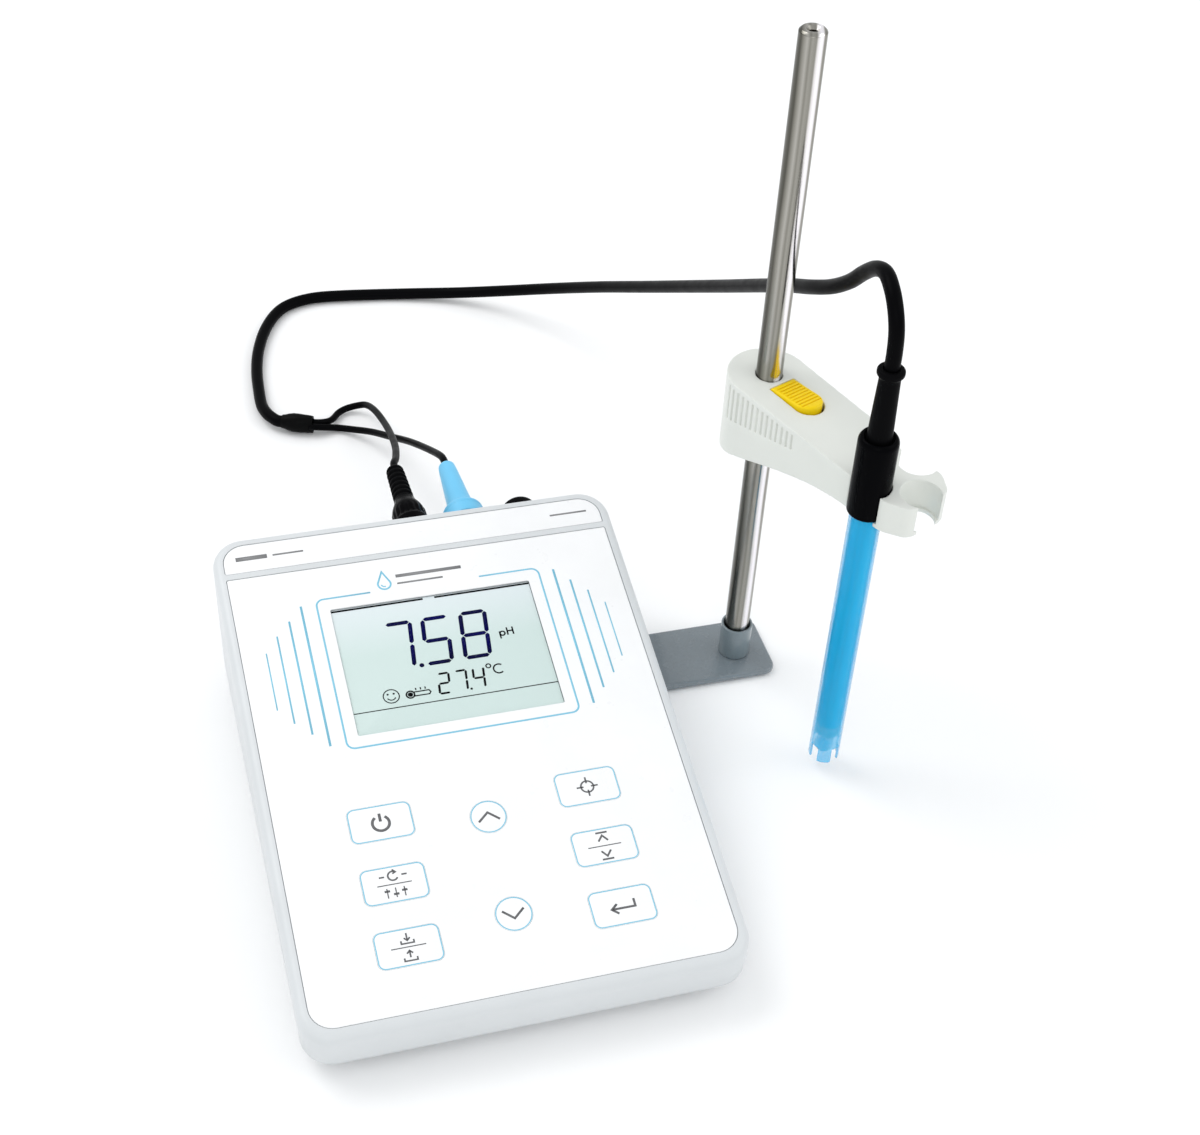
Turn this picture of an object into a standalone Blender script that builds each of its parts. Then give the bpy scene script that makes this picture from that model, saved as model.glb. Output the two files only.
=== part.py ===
"""Bench pH meter with its electrode stand, combination electrode, cable and plugs.

All lengths are in millimetres, and MM turns them into metres where a mesh is made.
Three frames carry the parts:
  bench  x to the right, y to the back, z up from the table, at the middle of the case
  panel  lies in the sloping front panel: x to the right, y up the slope, z out of it
  arm    on the rod's axis: -y runs along the electrode holder, from the rod to its head
"""
import math

import bmesh
import bpy
from mathutils import Matrix, Vector

MM = 0.001
GAP = 0.3                      # between neighbours that touch on the real object
ORIGIN = (46.2, -16.8)         # bench point under the middle of the whole object

# Case
CASE_WIDTH = 160.0
CASE_FRONT = -128.5
CASE_REAR = 82.6
CASE_DEPTH = CASE_REAR - CASE_FRONT
CASE_MIDDLE = (CASE_REAR + CASE_FRONT) / 2
CASE_CORNER = 12.0
WALL = 2.4
PANEL_TILT = math.radians(11.5)
PANEL_HEIGHT = 50.0            # height of the panel plane at y = 0
PARTING_HEIGHT = 10.0
UNDERSIDE = 4.0
FLOOR_TOP = 6.4
BOSS_FACE = 12.0
CASE_BOSSES = [(-66, -92), (66, -92), (-38, 68), (38, 68)]
FOOT_SPOTS = {"left_front": (-60, -108), "right_front": (60, -108),
              "left_rear": (-60, 66), "right_rear": (60, 66)}

# Front panel, measured along the slope
RECESS_DEPTH = 0.9
LABEL_TOP = -0.1
LABEL_THICK = 0.5
PANEL_SKIN = 3.2               # depth of the underside of the panel wall
OVERLAY = (75.8, -126.6, 63.9)         # half width, lower edge, upper edge
HEADER = (75.8, 66.9, 80.0)
LABEL_CORNER = 8.5
DISPLAY = (39.3, -15.2, 43.2)
KEY_HALF = (11.6, 7.2)
KEY_CORNER = 2.8
ROUND_KEY_RADIUS = 6.7
ROUND_KEY_SIDES = 20
KEY_COLUMN = 38.3
KEYS = {
    "key_power": (-KEY_COLUMN, -52.7), "key_mode": (-KEY_COLUMN, -77.8),
    "key_memory": (-KEY_COLUMN, -102.5), "key_cal": (KEY_COLUMN, -52.7),
    "key_max_min": (KEY_COLUMN, -77.8), "key_enter": (KEY_COLUMN, -102.5),
}
ROUND_KEYS = {"key_up": (0.0, -57.9), "key_down": (0.0, -97.6)}
BOARD_POSTS = [(-52, -118), (52, -118), (-52, 52), (52, 52)]

# Rear connectors, on axes that run straight back
CONNECTOR_HEIGHT = 50.0
PROBE_SOCKET_X = 3.4
ELECTRODE_SOCKET_X = 25.4
SUPPLY_SOCKET_X = 48.2
REAR_FACE = CASE_REAR + GAP

# Stand
ROD_X, ROD_Y = 129.5, 40.7
ROD_RADIUS = 5.0
ROD_TOP = 286.0
PLATE_LEFT, PLATE_RIGHT = -2.0, 143.5
PLATE_FRONT, PLATE_BACK = 25.6, 58.0
PLATE_BOTTOM, PLATE_TOP = 1.0, 3.5
PLATE_SCREWS = [(20, 41.8), (60, 41.8)]
COLLAR_TOP = 19.0

# Electrode holder
ARM_ANGLE = math.radians(22.5)
ARM_TOP = 146.4                # on the rod's axis, from where the top slopes down to the head
ARM_TOP_SLOPE = 0.042
ARM_HALF_REAR, ARM_HALF_FRONT = 15.8, 14.6
ARM_UNDERSIDE = [(20, 113.8), (12, 113.0), (4, 113.8), (-8, 117.4), (-22, 122.4), (-38, 127.0),
                 (-50, 129.2), (-60, 129.7), (-90, 129.7)]
BORE_RADIUS = 7.0
POCKET_RADIUS = 7.7
POCKET_MOUTH = 6.5
POCKET_LEDGE = 131.3
ELECTRODE_POCKET = (-11.6, -67.6)
FRONT_POCKET = (0.0, -81.4)
SIDE_POCKET = (11.6, -67.6)
GRIP_GROOVES, GRIP_START, GRIP_PITCH = 14, 4.5, 2.65
GRIP_DEPTH, GRIP_HALF_WIDTH = 0.7, 0.5
GRIP_LENGTH, GRIP_SHORTENING = 15.0, 0.66
BUTTON_BACK, BUTTON_FRONT = -7.2, -26.9
BUTTON_HALF = 5.8
BUTTON_PIVOT = (-8.6, 141.0)

# Electrode
CAP_RADIUS = 7.4
CAP_BOTTOM, CAP_TOP = 131.6, 165.0
BODY_RADIUS, BODY_BORE = 6.0, 5.0
BODY_TIP = 6.0
RELIEF_TOP = 194.0

# Cable and leads
CABLE_DIAMETER = 5.6
LEAD_DIAMETER = 3.2
JOINT_START = Vector((-30.0, 234.1, 4.9))
JOINT_END = Vector((-17.0, 229.0, 4.9))
CABLE_POINT_EVERY = 15.0
BEND_POINT_EVERY = 8.0
LEAD_POINT_EVERY = 8.0
END_STRAIGHT = 2.0             # keeps a cord's end faces square to its way out
CABLE_SPLIT = (143.8, 62.5, 169.6)
HANGING_ROUTE = [(144.3, -25.6, 208.5), (144.2, -22.6, 214.8), (144.7, -16.7, 219.0),
                 (145.7, -8.2, 220.1), (146.3, 1, 216), (146.6, 10.1, 208.4), (146.3, 19.3, 199),
                 (145.3, 31, 189.4), (144.2, 45.2, 180.1)]
CABLE_STRAIGHT = 2.8      # straight run of the cable into its joint
LEAD_STRAIGHT = 1.5       # straight run of a lead out of the joint
LEAD_SPREAD = 1.8         # half the distance between the two leads there
LYING_ROUTE = [(145.2, 94, 149), (145.4, 129, 126), (143, 170, 99.5), (137, 212.5, 72.5),
               (127.5, 252, 48), (113.5, 285, 27.5), (94.8, 308, 13.6), (73.5, 322.5, 5.8),
               (45.2, 331.4, 3.0), (14.8, 335.8, 3.0), (-0.5, 336.3, 3.0), (-12.5, 332.5, 3.0),
               (-20.5, 324.8, 3.0), (-27.5, 312.0, 3.0), (-33.1, 295.2, 3.0), (-36.2, 278.7, 3.0),
               (-37.6, 262.2, 3.2), (-38.0, 250.5, 3.6), (-36.6, 242.6, 4.3), (-34.8, 238.4, 4.7)]
PROBE_LEAD_ROUTE = [(-9.9, 231.2, 3.8), (-6.6, 234.1, 2.9), (-3.5, 238.5, 2.4), (0.5, 240.9, 2.6),
                    (5.6, 240.5, 3.9), (9.7, 236.1, 7.0), (11.7, 223.5, 12.6), (12.6, 203.3, 20),
                    (11.6, 181, 29.6), (9.4, 160.5, 39), (6.4, 144.4, 46.2), (4.2, 137.2, 49.2)]
ELECTRODE_LEAD_ROUTE = [(-6.7, 227.6, 2.4), (0, 223.9, 3.2), (8.1, 213, 8.5), (13.6, 198.2, 16.2),
                        (18.9, 178.8, 27.2), (22.6, 159.5, 37.6), (24.9, 142.5, 46.6),
                        (25.4, 135.5, 49.4)]


# ---------------------------------------------------------------- scene and materials

def clear_scene():
    for item in list(bpy.data.objects):
        bpy.data.objects.remove(item, do_unlink=True)


def plain_material(name, colour, roughness, metallic=0.0, alpha=1.0):
    finish = bpy.data.materials.new(name)
    finish.use_nodes = True
    shader = finish.node_tree.nodes["Principled BSDF"]
    shader.inputs["Base Color"].default_value = (*colour, 1.0)
    shader.inputs["Roughness"].default_value = roughness
    shader.inputs["Metallic"].default_value = metallic
    shader.inputs["Alpha"].default_value = alpha
    return finish


def make_materials():
    return {
        "case": plain_material("case_abs", (0.80, 0.82, 0.84), 0.42),
        "label": plain_material("label_film", (0.93, 0.93, 0.92), 0.35),
        "key": plain_material("key_film", (0.95, 0.95, 0.95), 0.35),
        "window": plain_material("clear_acrylic", (0.86, 0.93, 0.91), 0.05, alpha=0.35),
        "display": plain_material("display_glass", (0.72, 0.83, 0.80), 0.10),
        "diffuser": plain_material("backlight_diffuser", (0.90, 0.95, 0.93), 0.50),
        "board": plain_material("circuit_board", (0.03, 0.22, 0.10), 0.45),
        "dome": plain_material("dome_sheet", (0.75, 0.72, 0.60), 0.40),
        "rubber": plain_material("black_rubber", (0.02, 0.02, 0.02), 0.75),
        "black": plain_material("black_plastic", (0.012, 0.012, 0.014), 0.28),
        "steel": plain_material("stainless_steel", (0.62, 0.60, 0.56), 0.28, metallic=1.0),
        "zinc": plain_material("zinc_screw", (0.55, 0.56, 0.58), 0.35, metallic=1.0),
        "nickel": plain_material("nickel_plate", (0.70, 0.69, 0.66), 0.22, metallic=1.0),
        "brass": plain_material("brass", (0.74, 0.58, 0.26), 0.30, metallic=1.0),
        "plate": plain_material("grey_paint", (0.16, 0.19, 0.205), 0.22),
        "collar": plain_material("collar_paint", (0.20, 0.235, 0.28), 0.35),
        "holder": plain_material("holder_abs", (0.76, 0.79, 0.77), 0.45),
        "bush": plain_material("bush_acetal", (0.85, 0.85, 0.82), 0.40),
        "button": plain_material("yellow_plastic", (1.0, 0.66, 0.01), 0.40),
        "electrode": plain_material("blue_body", (0.0, 0.42, 0.88), 0.12, alpha=0.6),
        "glass": plain_material("electrode_glass", (0.85, 0.92, 0.95), 0.03, alpha=0.35),
        "boot": plain_material("blue_boot", (0.14, 0.57, 0.95), 0.50),
    }


# ---------------------------------------------------------------- outlines

def arc(centre, radius, start_degrees, end_degrees, steps):
    """Points on an arc, both ends included."""
    points = []
    for step in range(steps + 1):
        angle = math.radians(start_degrees + (end_degrees - start_degrees) * step / steps)
        points.append((centre[0] + radius * math.cos(angle), centre[1] + radius * math.sin(angle)))
    return points


def rounded_rectangle(left, right, low, high, radii, steps=4):
    """Anticlockwise outline; radii are those of the lower right, upper right, upper left, lower left."""
    corners = [(right, low, -1, 1, -90), (right, high, -1, -1, 0), (left, high, 1, -1, 90),
               (left, low, 1, 1, 180)]
    points = []
    for (x, y, side_x, side_y, start), radius in zip(corners, radii):
        points += arc((x + side_x * radius, y + side_y * radius), radius, start, start + 90, steps)
    return points


def circle(centre, radius, steps):
    return arc(centre, radius, 0, 360 * (steps - 1) / steps, steps - 1)


# ---------------------------------------------------------------- solids

def loft(rings):
    """Closed solid through rings with equal numbers of points, capped at both ends."""
    solid = bmesh.new()
    loops = [[solid.verts.new(Vector(point) * MM) for point in ring] for ring in rings]
    count = len(loops[0])
    for lower, upper in zip(loops, loops[1:]):
        for i in range(count):
            j = (i + 1) % count
            solid.faces.new((lower[i], lower[j], upper[j], upper[i]))
    solid.faces.new(loops[0])
    solid.faces.new(loops[-1])
    bmesh.ops.recalc_face_normals(solid, faces=solid.faces)
    return solid


def prism(outline, low, high):
    return loft([[(x, y, low) for x, y in outline], [(x, y, high) for x, y in outline]])


def block(left, right, front, back, low, high):
    return prism([(left, front), (right, front), (right, back), (left, back)], low, high)


def turned(profile, sides=24, ring=False):
    """Solid of revolution about z from (radius, height) pairs.

    A plain profile starts and ends on the axis; a ring's last point joins its first.
    """
    solid = bmesh.new()
    rows = []
    for radius, height in profile:
        if radius == 0:
            rows.append([solid.verts.new((0, 0, height * MM))])
        else:
            rows.append([solid.verts.new((x * MM, y * MM, height * MM))
                         for x, y in circle((0, 0), radius, sides)])
    pairs = list(zip(rows, rows[1:])) + ([(rows[-1], rows[0])] if ring else [])
    for lower, upper in pairs:
        for i in range(sides):
            j = (i + 1) % sides
            if len(lower) == 1:
                solid.faces.new((lower[0], upper[j], upper[i]))
            elif len(upper) == 1:
                solid.faces.new((lower[i], lower[j], upper[0]))
            else:
                solid.faces.new((lower[i], lower[j], upper[j], upper[i]))
    bmesh.ops.recalc_face_normals(solid, faces=solid.faces)
    return solid


def joined(solids):
    """One mesh of several separate solids, for use as a tool of a Boolean."""
    whole = bmesh.new()
    for solid in solids:
        mesh = bpy.data.meshes.new("tool_piece")
        solid.to_mesh(mesh)
        solid.free()
        whole.from_mesh(mesh)
        bpy.data.meshes.remove(mesh)
    return whole


def shifted(solid, x, y, z):
    bmesh.ops.translate(solid, verts=solid.verts, vec=Vector((x, y, z)) * MM)
    return solid


def add_object(name, solid, finish, parent, at=(0, 0, 0), turn=(0, 0, 0), smooth=True):
    mesh = bpy.data.meshes.new(name)
    solid.to_mesh(mesh)
    solid.free()
    if finish:
        mesh.materials.append(finish)
    if smooth:
        mesh.shade_smooth()
        mesh.set_sharp_from_angle(angle=math.radians(35))
    item = bpy.data.objects.new(name, mesh)
    bpy.context.scene.collection.objects.link(item)
    item.parent = parent
    item.location = Vector(at) * MM
    item.rotation_euler = turn
    return item


def boolean(target, operation, name, solid, parent, at=(0, 0, 0), turn=(0, 0, 0)):
    """Cuts a hidden tool out of the target, or joins it to the target."""
    tool = add_object(name, solid, None, parent, at, turn, smooth=False)
    tool.hide_render = True
    tool.display_type = "WIRE"
    modifier = target.modifiers.new(name, "BOOLEAN")
    modifier.operation = operation
    modifier.solver = "EXACT"
    modifier.object = tool


def frame_empty(name, parent, at, turn=(0, 0, 0)):
    empty = bpy.data.objects.new(name, None)
    bpy.context.scene.collection.objects.link(empty)
    empty.parent = parent
    empty.location = Vector(at) * MM
    empty.rotation_euler = turn
    return empty


# ---------------------------------------------------------------- cords

def smooth_route(points, every):
    """Evenly spaced points on a Catmull-Rom curve through the route's points, and one close to each end."""
    points = [Vector(point) for point in points]
    ends = [points[0] * 2 - points[1]] + points + [points[-1] * 2 - points[-2]]
    fine = [points[0]]
    for a, b, c, d in zip(ends, ends[1:], ends[2:], ends[3:]):
        for step in range(1, 25):
            t = step / 24
            fine.append(0.5 * (2 * b + (c - a) * t + (2 * a - 5 * b + 4 * c - d) * t * t
                               + (3 * b - a - 3 * c + d) * t * t * t))
    travelled = [0.0]
    for a, b in zip(fine, fine[1:]):
        travelled.append(travelled[-1] + (b - a).length)
    count = max(2, round(travelled[-1] / every))
    stations = [travelled[-1] * step / count for step in range(count + 1)]
    stations = sorted(stations + [END_STRAIGHT, travelled[-1] - END_STRAIGHT])
    spaced, index = [], 0
    for wanted in stations:
        while index < len(fine) - 2 and travelled[index + 1] < wanted:
            index += 1
        part = (wanted - travelled[index]) / (travelled[index + 1] - travelled[index])
        spaced.append(fine[index].lerp(fine[index + 1], part))
    return spaced


def add_cord(name, points, every, diameter, finish, parent, resolution):
    curve = bpy.data.curves.new(name, "CURVE")
    curve.dimensions = "3D"
    curve.bevel_depth = diameter / 2 * MM
    curve.bevel_resolution = resolution
    curve.use_fill_caps = True
    route = smooth_route(points, every)
    spline = curve.splines.new("POLY")
    spline.points.add(len(route) - 1)
    for knot, point in zip(spline.points, route):
        knot.co = (*(point * MM), 1.0)
    curve.materials.append(finish)
    item = bpy.data.objects.new(name, curve)
    bpy.context.scene.collection.objects.link(item)
    item.parent = parent


# ---------------------------------------------------------------- case

def panel_height(y):
    return PANEL_HEIGHT + y * math.tan(PANEL_TILT)


def case_ring(inset, height=None, drop=0.0):
    """The case's outline, moved inwards, level at a height or in the panel's slope below its plane."""
    radius = max(CASE_CORNER - inset, 2.5)
    outline = rounded_rectangle(-CASE_WIDTH / 2 + inset, CASE_WIDTH / 2 - inset, CASE_FRONT + inset,
                                CASE_REAR - inset, [radius] * 4, steps=4)
    if height is not None:
        return [(x, y, height) for x, y in outline]
    return [(x, y, panel_height(y) - drop) for x, y in outline]


def label_outline(sheet, top_radius, low_radius, margin=0.0):
    half, low, high = sheet
    radii = [max(radius + margin, 0.6) for radius in (low_radius, top_radius, top_radius, low_radius)]
    return rounded_rectangle(-half - margin, half + margin, low - margin, high + margin, radii)


def key_outline(spot, margin=0.0):
    x, y = spot
    half_x, half_y = KEY_HALF[0] + margin, KEY_HALF[1] + margin
    return rounded_rectangle(x - half_x, x + half_x, y - half_y, y + half_y, [KEY_CORNER + margin] * 4,
                             steps=2)


def key_openings(low, high, margin):
    holes = [prism(key_outline(spot, margin), low, high) for spot in KEYS.values()]
    holes += [prism(circle(spot, ROUND_KEY_RADIUS + margin, ROUND_KEY_SIDES), low, high)
              for spot in ROUND_KEYS.values()]
    return holes


def display_opening(low, high, margin):
    half, bottom, top = DISPLAY
    return prism(rounded_rectangle(-half - margin, half + margin, bottom - margin, top + margin, [1.0] * 4, 2),
                 low, high)


def make_upper_case(materials, bench, panel):
    edge = 3.2
    rim = [(0.0, edge), (0.1, edge * 0.6), (0.35, edge * 0.35), (0.9, edge * 0.14), (1.7, edge * 0.03)]
    rings = [case_ring(inset=inset, drop=drop) for drop, inset in rim]
    rings += [case_ring(inset=0.0, drop=edge), case_ring(inset=0.7, height=PARTING_HEIGHT),
              case_ring(inset=0.7 + WALL, height=PARTING_HEIGHT),
              case_ring(inset=WALL + 0.1, drop=PANEL_SKIN + 2.5),
              case_ring(inset=WALL + 2.2, drop=PANEL_SKIN)]
    case = add_object("upper_case", loft(rings), materials["case"], bench)
    bosses = [shifted(turned([(0, BOSS_FACE), (4, BOSS_FACE), (4, panel_height(y) - 2),
                              (0, panel_height(y) - 2)], 12),
                      x, y, 0) for x, y in CASE_BOSSES]
    boolean(case, "UNION", "tool_bosses", joined(bosses), bench)
    posts = [shifted(turned([(0, -5.4), (3, -5.4), (3, -2.0), (0, -2.0)], 12), x, y, 0)
             for x, y in BOARD_POSTS]
    boolean(case, "UNION", "tool_posts", joined(posts), panel)
    recesses = [prism(label_outline(OVERLAY, 0.6, LABEL_CORNER, GAP), -RECESS_DEPTH, 5),
                prism(label_outline(HEADER, LABEL_CORNER, 0.6, GAP), -RECESS_DEPTH, 5)]
    boolean(case, "DIFFERENCE", "tool_recesses", joined(recesses), panel)
    openings = key_openings(-9, 6, GAP) + [display_opening(-9, 6, GAP)]
    boolean(case, "DIFFERENCE", "tool_openings", joined(openings), panel)
    pilots = [shifted(turned([(0, 5), (1.6, 5), (1.6, 23), (0, 23)], 12), x, y, 0) for x, y in CASE_BOSSES]
    boolean(case, "DIFFERENCE", "tool_boss_pilots", joined(pilots), bench)
    post_pilots = [shifted(turned([(0, -8), (1.3, -8), (1.3, -2.2), (0, -2.2)], 10), x, y, 0)
                   for x, y in BOARD_POSTS]
    boolean(case, "DIFFERENCE", "tool_post_pilots", joined(post_pilots), panel)
    sockets = []
    for x, radius in ((PROBE_SOCKET_X, 4.6), (ELECTRODE_SOCKET_X, 6.5), (SUPPLY_SOCKET_X, 4.6)):
        sockets.append(shifted(turned([(0, -10), (radius, -10), (radius, 10), (0, 10)], 20), x, 0, 0))
        bmesh.ops.rotate(sockets[-1], verts=sockets[-1].verts, cent=Vector((x * MM, 0, 0)),
                         matrix=Matrix.Rotation(math.radians(-90), 3, "X"))
    boolean(case, "DIFFERENCE", "tool_sockets", joined(sockets), bench, (0, CASE_REAR, CONNECTOR_HEIGHT))


def make_lower_case(materials, bench):
    top = PARTING_HEIGHT - GAP
    tongue = 0.7 + WALL + GAP
    rings = [case_ring(8.0, UNDERSIDE), case_ring(5.0, 5.2), case_ring(2.2, 7.6), case_ring(0.9, top),
             case_ring(tongue, top), case_ring(tongue, 12.0), case_ring(tongue + 1.3, 12.0),
             case_ring(tongue + 1.6, 9.2), case_ring(9.0, FLOOR_TOP)]
    case = add_object("lower_case", loft(rings), materials["case"], bench)
    bosses = [shifted(turned([(0, 5), (5.4, 5), (5.4, BOSS_FACE - GAP), (0, BOSS_FACE - GAP)], 12), x, y, 0)
              for x, y in CASE_BOSSES]
    bosses += [shifted(turned([(0, 5), (4.5, 5), (4.5, 14), (0, 14)], 12), x, y, 0) for x, y in PLATE_SCREWS]
    boolean(case, "UNION", "tool_floor_bosses", joined(bosses), bench)
    holes = [shifted(turned([(0, 2), (3.4, 2), (3.4, 8), (1.8, 8), (1.8, 14), (0, 14)], 12), x, y, 0)
             for x, y in CASE_BOSSES]
    holes += [shifted(turned([(0, 2), (1.5, 2), (1.5, 12.6), (0, 12.6)], 12), x, y, 0)
              for x, y in PLATE_SCREWS]
    boolean(case, "DIFFERENCE", "tool_floor_holes", joined(holes), bench)


def make_case_fasteners(materials, bench):
    names = ("left_front", "right_front", "left_rear", "right_rear")
    screw = [(0, 6.2), (1.4, 6.2), (1.4, 5.2), (2.9, 5.4), (3.0, 7.7), (1.3, 7.7), (1.3, 21), (0, 22)]
    for name, (x, y) in zip(names, CASE_BOSSES):
        add_object("case_screw_" + name, turned(screw, 10), materials["zinc"], bench, (x, y, 0))
    foot = [(0, 0), (4.6, 0), (5.6, 0.8), (6.0, UNDERSIDE - GAP), (0, UNDERSIDE - GAP)]
    for name, (x, y) in FOOT_SPOTS.items():
        add_object("foot_" + name, turned(foot, 16), materials["rubber"], bench, (x, y, 0))


# ---------------------------------------------------------------- front panel

def make_labels(materials, panel):
    low, high = LABEL_TOP - LABEL_THICK, LABEL_TOP
    add_object("header_label", prism(label_outline(HEADER, LABEL_CORNER, 0.6), low, high),
               materials["label"], panel)
    overlay = add_object("keypad_overlay", prism(label_outline(OVERLAY, 0.6, LABEL_CORNER), low, high),
                         materials["label"], panel)
    openings = key_openings(-3, 3, GAP) + [display_opening(-3, 3, GAP)]
    boolean(overlay, "DIFFERENCE", "tool_overlay_openings", joined(openings), panel)


def make_keys(materials, panel):
    """Each key is a cap in its opening on a wider flange that keeps it behind the panel."""
    levels = [(-4.2, 0.9), (-3.5, 0.9), (-3.5, 0.0), (-0.3, 0.0), (0.0, -0.4)]
    for name, spot in KEYS.items():
        rings = [[(x, y, level) for x, y in key_outline((0, 0), margin)] for level, margin in levels]
        add_object(name, loft(rings), materials["key"], panel, (*spot, 0))
    for name, spot in ROUND_KEYS.items():
        rings = [[(x, y, level) for x, y in circle((0, 0), ROUND_KEY_RADIUS + margin, ROUND_KEY_SIDES)]
                 for level, margin in levels]
        add_object(name, loft(rings), materials["key"], panel, (*spot, 0))


def make_display(materials, panel):
    half, low, high = DISPLAY
    add_object("display_window", display_opening(LABEL_TOP - LABEL_THICK, LABEL_TOP, 0.0),
               materials["window"], panel)
    add_object("display_glass", block(-half, half, low, high, -3.8, -0.9), materials["display"], panel)
    add_object("backlight", block(-half - 4, half + 4, low - 3, high + 3, -5.4, -4.1),
               materials["diffuser"], panel)


def make_board(materials, panel):
    sheet = rounded_rectangle(-58, 58, -114, -44, [2] * 4, 2)
    add_object("dome_sheet", prism(sheet, -5.4, -4.9), materials["dome"], panel)
    outline = rounded_rectangle(-58, 58, -123, 57, [3] * 4, 3)
    board = add_object("main_board", prism(outline, -7.3, -5.7), materials["board"], panel)
    holes = [shifted(turned([(0, -9), (1.7, -9), (1.7, -4), (0, -4)], 12), x, y, 0) for x, y in BOARD_POSTS]
    boolean(board, "DIFFERENCE", "tool_board_holes", joined(holes), panel)
    screw = [(0, -9.6), (2.6, -9.4), (2.7, -7.6), (1.0, -7.6), (1.0, -2.8), (0, -2.5)]
    names = ("left_front", "right_front", "left_rear", "right_rear")
    for name, (x, y) in zip(names, BOARD_POSTS):
        add_object("board_screw_" + name, turned(screw, 8), materials["zinc"], panel, (x, y, 0))


# ---------------------------------------------------------------- connectors

def add_connector(name, profile, finish, bench, x, sides=16):
    """A turned piece on an axis that runs straight back from the case; heights are bench y."""
    add_object(name, turned(profile, sides), finish, bench, (x, 0, CONNECTOR_HEIGHT),
               (math.radians(-90), 0, 0))


def make_sockets(materials, bench):
    face = REAR_FACE
    add_connector("probe_socket", [
        (0, 72), (4.3, 72), (4.3, face), (5.6, face), (5.6, face + 1.5), (4.1, face + 1.5), (4.1, 92.5),
        (1.6, 92.5), (1.6, 85), (0, 85)], materials["nickel"], bench, PROBE_SOCKET_X)
    add_connector("electrode_socket", [
        (0, 70), (6.2, 70), (6.2, face), (7.6, face), (7.6, face + 2), (4.8, face + 2), (4.8, 95),
        (3.9, 95), (3.9, 87), (0.9, 87), (0.9, 93), (0, 93)], materials["nickel"], bench, ELECTRODE_SOCKET_X)
    add_connector("supply_socket", [
        (0, 72), (4.3, 72), (4.3, face), (6.0, face), (6.0, face + 1.3), (4.0, face + 1.3), (4.0, 90),
        (2.8, 90), (2.8, 84), (1.0, 84), (1.0, 89), (0, 89)], materials["black"], bench, SUPPLY_SOCKET_X)
    add_connector("supply_cap", [
        (0, 90.3), (4.3, 90.3), (4.3, 84.8), (7.2, 84.8), (7.6, 85.4), (7.6, 94.8), (6.8, 96.0), (0, 96.2)],
        materials["rubber"], bench, SUPPLY_SOCKET_X)


def make_plugs(materials, bench):
    add_connector("probe_plug", [
        (0, 86), (1.2, 86.6), (1.3, 92.8), (4.4, 92.8), (4.4, 84.8), (7.4, 84.8), (7.9, 85.6), (7.9, 95.4),
        (7.2, 97), (7.1, 101), (6.5, 104.2), (4.9, 108.4), (4.5, 110), (0, 110)],
        materials["black"], bench, PROBE_SOCKET_X)
    ribs = [(0, 110 + GAP), (4.4, 110 + GAP)]
    for rib in range(7):
        start = 111.0 + 2.9 * rib
        outer = 4.4 - 0.08 * rib
        ribs += [(outer, start + 0.2), (outer - 0.7, start + 0.5), (outer - 0.7, start + 1.3),
                 (outer - 0.1, start + 1.6)]
    ribs += [(3.5, 131.6), (3.1, 132), (0, 132)]
    add_connector("probe_relief", ribs, materials["rubber"], bench, PROBE_SOCKET_X, 12)
    add_connector("electrode_plug", [
        (0, 95.3), (5.1, 95.3), (5.1, 85.2), (7.2, 85.2), (7.2, 96.2), (4.2, 96.2), (4.2, 104), (0, 104)],
        materials["nickel"], bench, ELECTRODE_SOCKET_X)
    add_connector("electrode_boot", [
        (0, 104.4), (4.5, 104.4), (4.5, 96.6), (7.5, 96.6), (7.5, 91), (8.2, 91), (8.4, 92), (8.4, 96.2),
        (8.7, 97), (8.4, 98), (6.8, 99.4), (5.7, 101.6), (5.2, 105), (3.6, 127.5), (3.1, 130), (0, 130)],
        materials["boot"], bench, ELECTRODE_SOCKET_X)


# ---------------------------------------------------------------- stand

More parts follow.
